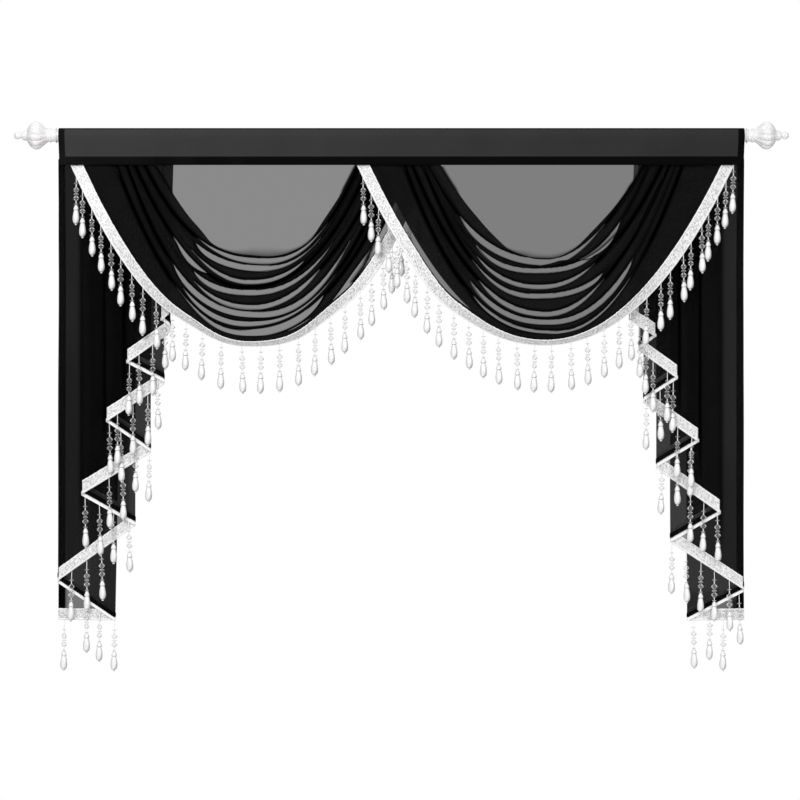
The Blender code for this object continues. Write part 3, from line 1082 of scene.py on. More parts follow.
@dataclass(frozen=True)
class DropPattern:
    """The beads that every drop is strung from, joined into a mesh for each finish."""

    thread_extra: float = 0.0
    knot: float = 0.0001

    BEADS = (
        Bead(BeadShape.STEM, 0.0000, 0.0128, 0.0008),
        Bead(BeadShape.DISC, 0.0128, 0.0154, 0.0048),
        Bead(BeadShape.STEM, 0.0154, 0.0226, 0.0011),
        Bead(BeadShape.CRYSTAL, 0.0226, 0.0346, 0.0066),
        Bead(BeadShape.DISC, 0.0358, 0.0400, 0.0054),
        Bead(BeadShape.CRYSTAL, 0.0412, 0.0526, 0.0066),
        Bead(BeadShape.STEM, 0.0526, 0.0584, 0.0011),
        Bead(BeadShape.DISC, 0.0586, 0.0610, 0.0048),
        Bead(BeadShape.CAP, 0.0612, 0.0722, 0.0061),
        Bead(BeadShape.PEARL, 0.0722, 0.1028, 0.0076),
        Bead(BeadShape.TIP, 0.1026, 0.1058, 0.0027),
    )

    def mesh(self, *shapes: BeadShape) -> bpy.types.Mesh:
        """One drop's beads of some kinds, hanging down from the origin.

        Args:
            shapes: the kinds to take.

        Returns:
            A mesh that is not in the scene.
        """
        joined = bmesh.new()
        for bead in self.BEADS:
            if bead.shape not in shapes:
                continue
            bm = bead.turned()
            for vert in bm.verts:
                if vert.co.z < -self.knot:
                    vert.co.z -= self.thread_extra
            part = bpy.data.meshes.new("bead")
            bm.to_mesh(part)
            bm.free()
            joined.from_mesh(part)
            bpy.data.meshes.remove(part)
        made = bpy.data.meshes.new("drop")
        joined.to_mesh(made)
        joined.free()
        return made


@dataclass
class BeadFringe:
    """A bead fringe: a tape along the hem and a drop of beads at each place."""

    name: str
    node: str
    seed: int = 0
    tape_width: float = 0.0068
    tape_past: float = 0.0008
    tape_body: float = 0.0009
    tape_crown: float = 0.0002
    sway_deg: float = 1.6

    def tape(self, spots: Hem) -> Piece:
        """The narrow tape behind the braid's lower edge.

        Args:
            spots: places along the hem.

        Returns:
            The tape, not dressed yet.
        """
        rows = []
        for share in (0.0, 0.08, 0.5, 0.92, 1.0):
            edge = self.tape_crown if 0 < share < 1 else 0.0
            row = []
            for spot in spots:
                fall = spot.height + self.tape_past - self.tape_width * (1 - share)
                row.append(spot.point + spot.across * fall + spot.out * edge)
            rows.append(row)
        piece = woven_sheet(f"{self.name}_tape", rows)
        thicken(piece, self.tape_body, offset=0.0)
        return piece

    def strung(self, word: str, drop: bpy.types.Mesh, hangs: Sequence[Matrix]) -> Piece:
        """All the drops' beads of one finish, as one piece.

        Args:
            word: the end of the piece's name.
            drop: one drop's beads.
            hangs: where each drop hangs.

        Returns:
            The piece, not dressed yet.
        """
        bm = bmesh.new()
        for place in hangs:
            before = len(bm.verts)
            bm.from_mesh(drop)
            bm.verts.ensure_lookup_table()
            bmesh.ops.transform(bm, matrix=place, verts=bm.verts[before:])
        return finish_piece(bm, f"{self.name}_{word}", is_smooth=False)

    def build(self, spots: Hem, roots: Sequence[Vector], pattern: DropPattern) -> list[Piece]:
        """Makes the tape and hangs the drops.

        Args:
            spots: places along the hem for the tape.
            roots: where each drop starts.
            pattern: what a drop is strung from.

        Returns:
            The pieces of the fringe.
        """
        draw = random.Random(self.seed)
        sway = math.radians(self.sway_deg)
        hangs = []
        for root in roots:
            turn = Matrix.Rotation(draw.uniform(-sway, sway), 4, "Y")
            turn @= Matrix.Rotation(draw.uniform(-sway, sway) * 0.5, 4, "X")
            turn @= Matrix.Rotation(draw.uniform(-math.pi, math.pi), 4, "Z")
            hangs.append(Matrix.Translation(root) @ turn)
        glossy = (BeadShape.CAP, BeadShape.PEARL, BeadShape.TIP)
        made = (
            (self.tape(spots), WhiteCord()),
            (self.strung("threads", pattern.mesh(BeadShape.STEM), hangs), WhiteCord()),
            (self.strung("crystals", pattern.mesh(BeadShape.DISC, BeadShape.CRYSTAL), hangs),
             CutCrystal()),
            (self.strung("pearls", pattern.mesh(*glossy), hangs), PearlGloss()),
        )
        for piece, finish in made:
            fit(piece, finish, self.node)
        return [piece for piece, _ in made]


# ---- swags


@dataclass(frozen=True)
class Dip:
    """A place where a hanging line is uneven.

    Attributes:
        x: its X.
        depth: how much lower the line hangs there, or higher below 0.
        width: how far to either side it reaches.
    """

    x: float
    depth: float
    width: float


@dataclass(frozen=True)
class Streak:
    """A soft streak of painted shade on single cloth, between two places seen flat, where a
    small fold near the hem would darken it.

    Attributes:
        start: X and Z of its upper end.
        end: X and Z of its lower end.
        left: how far it fades to the left.
        right: how far it fades to the right.
        core: how far to either side it is darkest.
        past_end: how far it fades beyond its two ends.
    """

    start: tuple[float, float]
    end: tuple[float, float]
    left: float = 0.0085
    right: float = 0.0035
    core: float = 0.0016
    past_end: float = 0.004

    def at(self, point: Vector) -> float:
        """How dark the painted shade makes the cloth at a point.

        Args:
            point: a point of the cloth.

        Returns:
            The shade there, from 0 to 1.
        """
        way = Vector(self.end) - Vector(self.start)
        reach = Vector((point.x, point.z)) - Vector(self.start)
        share = reach.dot(way) / way.length_squared
        past = max(-share, share - 1, 0.0) * way.length
        aside = (reach.x * way.y - reach.y * way.x) / way.length
        fade = smooth((abs(aside) - self.core) / (self.left if aside > 0 else self.right))
        return (1 - fade) * (1 - smooth(past / self.past_end))


@dataclass(frozen=True)
class Festoon:
    """A line that hangs between two places at the heading's lower edge.

    Attributes:
        left: X of its left end.
        right: X of its right end.
        low_x: X of its lowest point.
        low: Z of its lowest point.
        bow_left: how square its left part hangs, where 2 is a parabola.
        bow_right: the same for its right part.
        dips: where it hangs unevenly.
    """

    left: float
    right: float
    low_x: float
    low: float
    bow_left: float
    bow_right: float
    dips: tuple[Dip, ...] = field(default=(), kw_only=True)

    def at(self, u: float) -> Vector:
        """The point at a place along the line.

        Args:
            u: the place along it, from -1 at the left to 1 at the right.

        Returns:
            The point, at Y 0.
        """
        reach = self.right - self.low_x if u > 0 else self.low_x - self.left
        bow = self.bow_right if u > 0 else self.bow_left
        x = self.low_x + u * reach
        z = HANG_Z - (HANG_Z - self.low) * (1 - abs(u) ** bow)
        z -= sum(dip.depth * math.exp(-(((x - dip.x) / dip.width) ** 2)) for dip in self.dips)
        return Vector((x, 0.0, z))


@dataclass(frozen=True)
class Crease(Festoon):
    """One festoon crease: the front turn of a fold.

    Attributes:
        opening: height of the single cloth that shows below it at open_x.
        shut_left: X where that opening closes at the left.
        shut_right: X where it closes at the right.
        plump_left: how long the opening keeps its height to the left, where 2 is a
            parabola.
        plump_right: the same to the right.
        deep_left: how dark the painted shade of the line below it is at the left, where it
        is tucked.
        deep_right: the same at the right.
        open_x: X of the opening's middle, which is the crease's lowest point if not given.
    """

    opening: float
    shut_left: float
    shut_right: float
    plump_left: float
    plump_right: float
    deep_left: float
    deep_right: float
    open_x: float | None = None

    def gap(self, x: float, tuck: float) -> float:
        """The height of the opening at an X, or below 0 how far the next fold is tucked up.

        Args:
            x: the place.
            tuck: the furthest that a fold is tucked up.

        Returns:
            The gap, square to the crease.
        """
        middle = self.low_x if self.open_x is None else self.open_x
        shut = self.shut_right if x > middle else self.shut_left
        plump = self.plump_right if x > middle else self.plump_left
        share = (x - middle) / (shut - middle)
        gap = self.opening * (1 - share ** plump)
        return gap if gap > 0 else -tuck * (1 - math.exp(gap / tuck))


@dataclass(frozen=True)
class Lip:
    """A place on the line where the flat cloth goes in behind the first crease.

    Attributes:
        x: its X.
        z: its Z.
        soft: how far above it the painted shade starts.
    """

    x: float
    z: float
    soft: float = 0.0


@dataclass(frozen=True)
class Fold:
    """One fold of a swag, seen flat.

    Attributes:
        number: its number, from the top.
        line: its crease in front.
        away: the direction down and outward from each point of the crease.
        hidden: its turn behind.
        gaps: how far below the crease the next fold's hidden turn lies.
    """

    number: int
    line: Line
    away: Line
    hidden: Line
    gaps: list[float]


@dataclass
class Weft:
    """Rows of cloth from the seam down, with a painted shade for each of their points."""

    lines: list[Line] = field(default_factory=list)
    shades: list[list[float]] = field(default_factory=list)

    def add(self, line: Line, shade: Sequence[float] | None = None) -> None:
        """Adds a row, unshaded if no shade is given."""
        self.lines.append(line)
        self.shades.append(list(shade) if shade else [0.0] * len(line))

    def sheet(self, name: str) -> Piece:
        """The sheet of cloth through its rows."""
        return woven_sheet(name, self.lines, self.shades)


def trimmed(word: str, seed: int, braided: Hem, taped: Hem,
            roots: Line, pattern: DropPattern) -> list[Piece]:
    """Makes the braid and the bead fringe of one edge.

    Args:
        word: which cloth's edge it is.
        seed: the start of its random draws.
        braided: close places along the hem for the braid.
        taped: places along the hem for the fringe's tape.
        roots: where the bead drops hang.
        pattern: what a bead drop is strung from.

    Returns:
        The braid and then the fringe's pieces.
    """
    braid = Braid(f"{word}_braid", f"braid_{word}", seed).build(braided)
    fringe = BeadFringe(f"{word}_fringe", f"beads_{word}", seed)
    return [braid, *fringe.build(taped, roots, pattern)]


@dataclass
class Swag:
    """One swag: sheer cloth pleated into the seam at both ends."""

    side: Side
    creases: tuple[Crease, ...]
    lips: tuple[Lip, ...]
    hem: Festoon
    flat_left: float
    flat_right: float
    depth_left: float
    depth_right: float
    ease_right: float
    curl_deg: float
    drops: tuple[float, ...]
    voile: SheerVoile
    cut: tuple[float, float]
    cut_area: float
    streaks: tuple[Streak, ...] = ()
    pattern: DropPattern = DropPattern()
    belly: float = 0.065
    turn_at_seam: float = 0.0016
    turn_at_low: float = 0.0036
    depth_at_seam: float = 0.0075
    depth_at_low: float = 0.0140
    hem_set_back: float = 0.0022
    hem_rise_low: float = 0.0100
    hem_rise_seam: float = 0.0014
    hem_under: float = 0.0180
    tuck: float = 0.0130
    stray: float = 0.0005
    line_width: float = 0.0086
    least_lap: float = 0.0012
    most_lap: float = 0.05
    halvings: int = 18
    crease_round: float = 0.0012
    hidden_round: float = 0.0022
    columns: int = 132
    face_rows: int = 20
    top_rows: int = 48
    turn_steps: int = 6
    hidden_steps: int = 4
    braid_places: int = 560
    tape_places: int = 240

    # painted shade: how dark the cloth is above a crease, where the next fold comes out below
    # one, where the flat cloth goes in behind the first one, and in the soft band beside that line
    ABOVE = 0.80
    COMING_OUT = 0.90
    GOING_IN = 0.95
    PAINTED_LIP_SHADE = 0.66

    # how wide those lines are, and where a gap counts as shut
    LINE_CORE = 0.0008
    OUT_ABOVE = 0.0012
    OUT_BELOW = 0.0050
    GOING_IN_WIDTH = 0.0030
    SHUT_GAP = 0.0012
    SHUT_RANGE = 0.0026

    # the flat cloth's unevenness: waves for each metre along and down, lane and size
    RIPPLES = ((7, 0, 11.0, 0.0016), (2.4, 3.5, 12.0, 0.0026))

    @property
    def node(self) -> str:
        """The CAD node of the swag's cloth."""
        return f"swag_{self.side.word}"

    # -- lines in the plane of the drape

    def places(self, count: int) -> list[float]:
        """Evenly spread places from -1 to 1."""
        return [-1 + 2 * i / count for i in range(count + 1)]

    @staticmethod
    def outward(line: Line) -> Line:
        """The unit direction down and outward from each point of a hanging line.

        Args:
            line: the line, from left to right.

        Returns:
            A direction for each of its points.
        """
        found = []
        for i in range(len(line)):
            along = line[min(i + 1, len(line) - 1)] - line[max(i - 1, 0)]
            found.append(Vector((along.z, 0.0, -along.x)).normalized())
        return found

    def crease_line(self, number: int) -> Line:
        """A crease's line, a little uneven.

        Args:
            number: the crease's number, from the top.

        Returns:
            The line at Y 0.
        """
        line = []
        for u in self.places(self.columns):
            point = self.creases[number].at(u)
            stray = self.stray * (1 - u * u)
            point.z += stray * wander(u * 2.6, number, self.side.value)
            line.append(point)
        return line

    def lip_at(self, x: float) -> tuple[float, float, float]:
        """The line where the flat cloth goes in behind the first crease.

        Args:
            x: a place along X.

        Returns:
            The line's Z there, its slope, and how far above it the cloth darkens.
        """
        lips = self.lips
        i = next((k for k in range(1, len(lips) - 1) if x < lips[k].x), len(lips) - 1)
        a, b = lips[i - 1], lips[i]
        chord = (b.z - a.z) / (b.x - a.x)
        before = (b.z - lips[i - 2].z) / (b.x - lips[i - 2].x) if i > 1 else chord
        after = chord
        if i + 1 < len(lips):
            after = (lips[i + 1].z - a.z) / (lips[i + 1].x - a.x)
        run = b.x - a.x
        t = clamp((x - a.x) / run, -1.0, 2.0)
        if not 0 <= t <= 1:
            return a.z + chord * (x - a.x), chord, 0.0
        bend = t * (1 - t) * ((1 - t) * (before - chord) - t * (after - chord))
        slope = (chord + (1 - t) * (1 - 3 * t) * (before - chord)
                 - t * (2 - 3 * t) * (after - chord))
        return a.z + (chord * t + bend) * run, slope, between(a.soft, b.soft, t)

    def lap(self, point: Vector, away: Vector) -> float:
        """How far the first hidden turn lies above the first crease, square to it.

        Args:
            point: a point of the crease.
            away: the direction down and outward there.

        Returns:
            The distance, which keeps clear of the crease.
        """
        near, far = 0.0, self.most_lap
        for _ in range(self.halvings):
            middle = (near + far) / 2
            at = point - away * middle
            if at.z < self.lip_at(at.x)[0]:
                near = middle
            else:
                far = middle
        return max(near, self.least_lap)

    # -- depth

    def front_y(self, u: float, z: float) -> float:
        """How far forward the front of the swag hangs.

        Args:
            u: the place along its width, from -1 to 1.
            z: the height.

        Returns:
            The Y.
        """
        share = clamp((HANG_Z - z) / (HANG_Z - self.hem.low))
        ease = between(1.0, self.ease_right, 0.5 + 0.5 * math.tanh(3 * u))
        at_seam = between(self.depth_left, self.depth_right, (u + 1) / 2)
        return at_seam - self.belly * share ** ease

    def placed(self, line: Line, set_back: Callable[[float], float]) -> Line:
        """Gives a flat line its depth, and carries it up behind the strip at both ends.

        Args:
            line: the line at Y 0.
            set_back: how far behind the front it lies at each place.

        Returns:
            The line in space.
        """
        points = []
        for u, point in zip(self.places(len(line) - 1), line):
            points.append(Vector((point.x, self.front_y(u, point.z) + set_back(u), point.z)))
        return [self.sewn_in(points[0], points[1]), *points, self.sewn_in(points[-1], points[-2])]

    @staticmethod
    def sewn_in(end: Vector, inner: Vector) -> Vector:
        """The point behind the strip that carries a line up to the seam.

        Args:
            end: the line's last point below the strip.
            inner: the point before it.

        Returns:
            The point on the seam.
        """
        fall = min(end.z - inner.z, 0.02)
        slope = (end.x - inner.x) / fall if fall > 1e-5 else 0.0
        rise = SEAM_Z - end.z
        return Vector((end.x + clamp(slope, -0.8, 0.8) * rise, end.y, SEAM_Z))

    def turn(self, u: float) -> float:
        """How thick a turn is, front to back."""
        return between(self.turn_at_seam, self.turn_at_low, 1 - u * u)

    def pleat(self, u: float) -> float:
        """How deep a fold is, front to back."""
        return between(self.depth_at_seam, self.depth_at_low, 1 - u * u)

    # -- rows of the cloth

    def turn_rows(self, line: Line, is_front: bool) -> list[Line]:
        """The rows round one turn.

        Args:
            line: the turn's outermost line.
            is_front: whether it is a crease in front, which turns up, or a hidden turn
                behind, which turns down.

        Returns:
            Rows from front to back.
        """
        away = self.outward(line)
        steps = self.turn_steps if is_front else self.hidden_steps
        size = -self.crease_round if is_front else self.hidden_round
        rows = []
        for step in range(steps + 1):
            angle = math.pi * step / steps
            back = (1 - math.cos(angle)) / 2
            inward = size * (1 - math.sin(angle))
            moved = [point + out * inward for point, out in zip(line, away)]
            if is_front:
                rows.append(self.placed(moved, lambda u, s=back: self.turn(u) * s))
                continue
            rows.append(self.placed(
                moved, lambda u, s=back: self.pleat(u) - self.turn(u) * (1 - s)))
        return rows

    @staticmethod
    def eased_rows(start: Line, end: Line, count: int, bulge: float) -> list[Line]:
        """Rows between two rows, bowed forward or back.

        Args:
            start: the row above.
            end: the row below.
            count: how many rows come between.
            bulge: how far the middle one stands forward.

        Returns:
            The new rows.
        """
        rows = []
        for k in range(1, count + 1):
            share = k / (count + 1)
            lift = bulge * math.sin(math.pi * share)
            row = []
            for i, (a, b) in enumerate(zip(start, end)):
                inside = smooth(min(i, len(start) - 1 - i) / 8)
                row.append(a.lerp(b, share) - Vector((0, lift * inside, 0)))
            rows.append(row)
        return rows

    def line_shade(self, number: int, u: float, gap: float, below: float) -> float:
        """The painted shade round a crease, and where the next fold comes out behind it.

        Args:
            number: the crease.
            u: the place along it.
            gap: its gap there.
            below: how far below the crease the point is, negative above it.

        Returns:
            The shade.
        """
        crease = self.creases[number]
        deep = between(crease.deep_left, crease.deep_right, smooth((u + 0.15) / 0.3))
        tucked = smooth((self.SHUT_GAP - gap) / self.SHUT_RANGE)
        near = 1 - smooth((abs(below) - self.LINE_CORE) / self.line_width)
        if below < 0:
            return near * between(self.ABOVE, deep, tucked)
        past = below - gap
        if past < 0:
            lip = math.exp(-((past / self.OUT_ABOVE) ** 2))
        else:
            lip = 1 - smooth(past / self.OUT_BELOW)
        return max(near * deep * tucked, self.COMING_OUT * lip * (1 - tucked))

    def fold_shades(self, row: Line, fold: Fold) -> list[float]:
        """The shade of a row of cloth beside a crease.

        Args:
            row: the row, with a point more than the crease at either end.
            fold: the crease's fold.

        Returns:
            A shade for each point.
        """
        shades = []
        us = self.places(self.columns)
        for u, point, edge, gap, down in zip(us, row[1:-1], fold.line, fold.gaps, fold.away):
            shades.append(self.line_shade(fold.number, u, gap, (point - edge).dot(down)))
        return [shades[0], *shades, shades[-1]]

    def folds(self) -> list[Fold]:
        """Every fold's lines, from the top down.

        Returns:
            The folds.
        """
        found = []
        for number in range(len(self.creases)):
            line = self.crease_line(number)
            away = self.outward(line)
            if found:
                last = found[-1]
                hidden = [p + out * gap for p, out, gap in zip(last.line, last.away, last.gaps)]
            else:
                hidden = [point - out * self.lap(point, out) for point, out in zip(line, away)]
            gaps = [
                max(self.creases[number].gap(point.x, self.tuck), -0.85 * (point - inner).dot(out))
                for point, inner, out in zip(line, hidden, away)
            ]
            found.append(Fold(number, line, away, hidden, gaps))
        return found

    def add_top(self, weft: Weft, first: Line, fold: Fold) -> None:
        """Adds the flat top cloth: the seam, the line below the strip, and rows down to
        the first crease.

        Args:
            weft: the rows so far.
            first: the front row of the first crease.
            fold: the first fold.
        """
        last = len(first) - 1
        seam, hang = [], []
        for i in range(last + 1):
            share = i / last
            y = between(self.depth_left, self.depth_right, share)
            at_seam = between(self.flat_left, self.flat_right, share)
            seam.append(Vector((at_seam, y, SEAM_Z)))
            left = between(self.flat_left, first[0].x, 0.5)
            right = between(self.flat_right, first[-1].x, 0.5)
            inside = clamp((i - 1) / (last - 2))
            height = SEAM_Z if i in (0, last) else HANG_Z
            hang.append(Vector((between(left, right, inside), y, height)))
        weft.add(seam)
        weft.add(hang)
        for k in range(1, self.top_rows):
            share = 1 - (1 - k / self.top_rows) ** 1.6
            row = []
            for i, (a, b) in enumerate(zip(hang, first)):
                point = a.lerp(b, share)
                inside = smooth(min(i, last - i) / 10)
                ripple = sum(wander(point.x * along + point.z * down, lane) * size
                             for along, down, lane, size in self.RIPPLES)
                point.y -= ripple * inside * math.sin(math.pi * share)
                row.append(point)
            creased = self.fold_shades(row, fold)
            weft.add(row, [max(self.top_shade(p), near) for p, near in zip(row, creased)])

    def top_shade(self, point: Vector) -> float:
        """The painted shade of the flat cloth at a point, near where it goes in behind the crease.

        Args:
            point: a point of the flat cloth.

        Returns:
            The shade there.
        """
        z, slope, soft = self.lip_at(point.x)
        past = (point.z - z) / math.hypot(1.0, slope)
        lower = smooth((z + 0.135) / 0.02)
        line = self.GOING_IN * math.exp(-((past / self.GOING_IN_WIDTH) ** 2)) * lower
        if past < 0:
            return max(line, self.PAINTED_LIP_SHADE * smooth(soft / 0.004))
        return max(line, self.PAINTED_LIP_SHADE * clamp(1 - past / max(soft, 1e-5)) ** 1.4)

    def hem_spots(self, places: Sequence[float]) -> list[HemSpot]:
        """The hem's places, with the seam ends, in the way that the braid lies on it.

        Args:
            places: where along the hem, from -1 to 1.

        Returns:
            A spot for each place, and one more at either end behind the strip.
        """
        line = []
        for u in places:
            point = self.hem.at(u)
            point.y = self.front_y(u, point.z) + self.hem_set_back * u * u
            line.append(point)
        spots = []
        for i, u in enumerate(places):
            along = (line[min(i + 1, len(line) - 1)] - line[max(i - 1, 0)]).normalized()
            face = Vector((along.z, 0.0, -along.x)).cross(along).normalized()
            down = along.cross(face).normalized()
            curl = math.radians(self.curl_deg) * math.cos(math.pi / 2 * u) ** 2
            across = down * math.cos(curl) - face * math.sin(curl)
            out = face * math.cos(curl) + down * math.sin(curl)
            spots.append(HemSpot(line[i], across, out))
        start = replace(spots[0], point=self.sewn_in(line[0], line[1]))
        end = replace(spots[-1], point=self.sewn_in(line[-1], line[-2]))
        return [start, *spots, end]

    def hem_rows(self) -> list[Line]:
        """The cloth down to and under the braid, and the hem turned up twice behind it.

        Returns:
            The rows.
        """
        places = self.places(self.columns)
        us = [-1.0, *places, 1.0]
        spots = self.hem_spots(places)
        foot = self.hem_under
        path = (
            (-1.0, 0.0), (-0.5, 0.0), (0.0, 0.0), (0.006, 0.0),
            (0.012, 0.0), (foot - 0.0008, 0.0), (foot, 0.0004),
            (foot - 0.0008, 0.0008), (0.012, 0.0009), (0.006, 0.0009), (0.0, 0.0009),
            (-0.94, 0.0009), (-1.0, 0.0013), (-0.94, 0.0017), (0.0, 0.0017), (0.006, 0.0017),
        )
        rows = []
        for fall, behind in path:
            row = []
            for u, spot in zip(us, spots):
                way = spot.across
                reach = fall
                if fall < 0:
                    flat = Vector((way.x, 0.0, way.z))
                    way = flat.normalized() if flat.length > 1e-6 else way
                    hanging = math.cos(math.pi / 2 * u) ** 5
                    reach = fall * between(self.hem_rise_seam, self.hem_rise_low, hanging)
                row.append(spot.point + way * reach - spot.out * behind)
            rows.append(row)
        return rows

    def weft(self) -> Weft:
        """Every row of the swag's cloth, from the seam to its hem.

        Returns:
            The rows.
        """
        folds = self.folds()
        weft = Weft()
        self.add_top(weft, self.placed(folds[0].line, lambda u: 0.0), folds[0])
        for number, fold in enumerate(folds):
            front = self.turn_rows(fold.line, is_front=True)
            behind = self.turn_rows(fold.hidden, is_front=False)
            if number:
                for row in self.eased_rows(weft.lines[-1], front[0], self.face_rows, 0.0012):
                    above = self.fold_shades(row, folds[number - 1])
                    below = self.fold_shades(row, fold)
                    weft.add(row, [max(pair) for pair in zip(above, below)])
            # painted shade along the crease's edge, carried round its front turn
            edge = self.fold_shades(front[0], fold)
            for row in front:
                weft.add(row, edge)
            for row in [*self.eased_rows(front[-1], behind[0], 2, 0.0), *behind]:
                weft.add(row)
        hem = self.hem_rows()
        # painted shade of the streaks on the cloth above the hem
        for row in [*self.eased_rows(weft.lines[-1], hem[0], 9, 0.0015), *hem]:
            weft.add(row, [max([0.0, *(s.at(point) for s in self.streaks)]) for point in row])
        return weft

    def drop_roots(self, spots: Hem) -> Line:
        """Where the bead drops hang on the braid's lower edge.

        Args:
            spots: close places along the hem.

        Returns:
            The points.
        """
        feet = [spot.point + spot.across * spot.height for spot in spots]
        roots = []
        for x in self.drops:
            a, b = next((a, b) for a, b in pairwise(feet) if a.x <= x < b.x)
            roots.append(a.lerp(b, (x - a.x) / (b.x - a.x)))
        return roots

    def build(self) -> Piece:
        """Makes the cloth, its braid and its fringe.

        Returns:
            The cloth.
        """
        cloth = self.weft().sheet(f"{self.node}_cloth")
        fit(cloth, self.voile, self.node)
        close = self.hem_spots(self.places(self.braid_places))
        taped = self.hem_spots(self.places(self.tape_places))
        trims = trimmed(self.node, 20 + self.side.value, close, taped,
                        self.drop_roots(close), self.pattern)
        return cloth


# ---- tails


@dataclass(frozen=True)
class PleatEdge:
    """One fold, or free edge, of a tail.

    Attributes:
        top: X at the seam.
        foot: X at its foot.
        low: Z of the foot on the panel before it.
        step: how much lower the foot is on the panel after it.
        drops: X of the bead drops on the panel that starts here.
        band: upright height of the braid here.
    """

    top: float
    foot: float
    low: float
    step: float = 0.0
    drops: tuple[float, ...] = ()
    band: float = 0.029


@dataclass(frozen=True)
class Thread:
    """One lengthwise line of a tail's cloth, from the seam to its foot.

    Attributes:
        top: X at the seam.
        foot: X at the foot.
        low: Z of the foot.
        band: upright height of the braid.
        layer: how many layers back it lies, which is not whole on a turn.
        normal: the direction of the cloth's face.
        wave: 0 at a fold and 1 in the middle of a panel.
    """

    top: float
    foot: float
    low: float
    band: float
    layer: float
    normal: Vector
    wave: float


@dataclass(frozen=True)
class FoldShadow:
    """The dark line that a fold casts on the panel behind it.

    Attributes:
        fold: the fold's number.
        beyond: how far outside the fold it lies.
        width: how wide it is.
        strength: how dark it is.
    """

    fold: int
    beyond: float
    width: float
    strength: float


@dataclass(frozen=True)
class Dusk:
    """A part of a tail where painted shade darkens the cloth and makes it less see-through.

    Attributes:
        near: its smaller distance from the drape's middle.
        far: its larger distance from there.
        top: Z of its top.
        shade: how dark it is.
        soft: over what height it starts.
        panel: the first panel that it lies on.
        edge: over what width its sides fade.
    """

    near: float
    far: float
    top: float
    shade: float
    soft: float = 0.12
    panel: int = 0
    edge: float = 0.012

    def at(self, point: Vector, layer: float) -> float:
        """Its shade at a point of a layer, soft towards its sides and its top.

        Args:
            point: a point of the cloth.
            layer: how many layers back it lies.

        Returns:
            The shade there.
        """
        if layer < self.panel:
            return 0.0
        x = abs(point.x)
        inside = smooth((x - self.near) / self.edge + 0.5)
        inside *= smooth((self.far - x) / self.edge + 0.5)
        return self.shade * inside * smooth((self.top - point.z) / self.soft + 0.5)


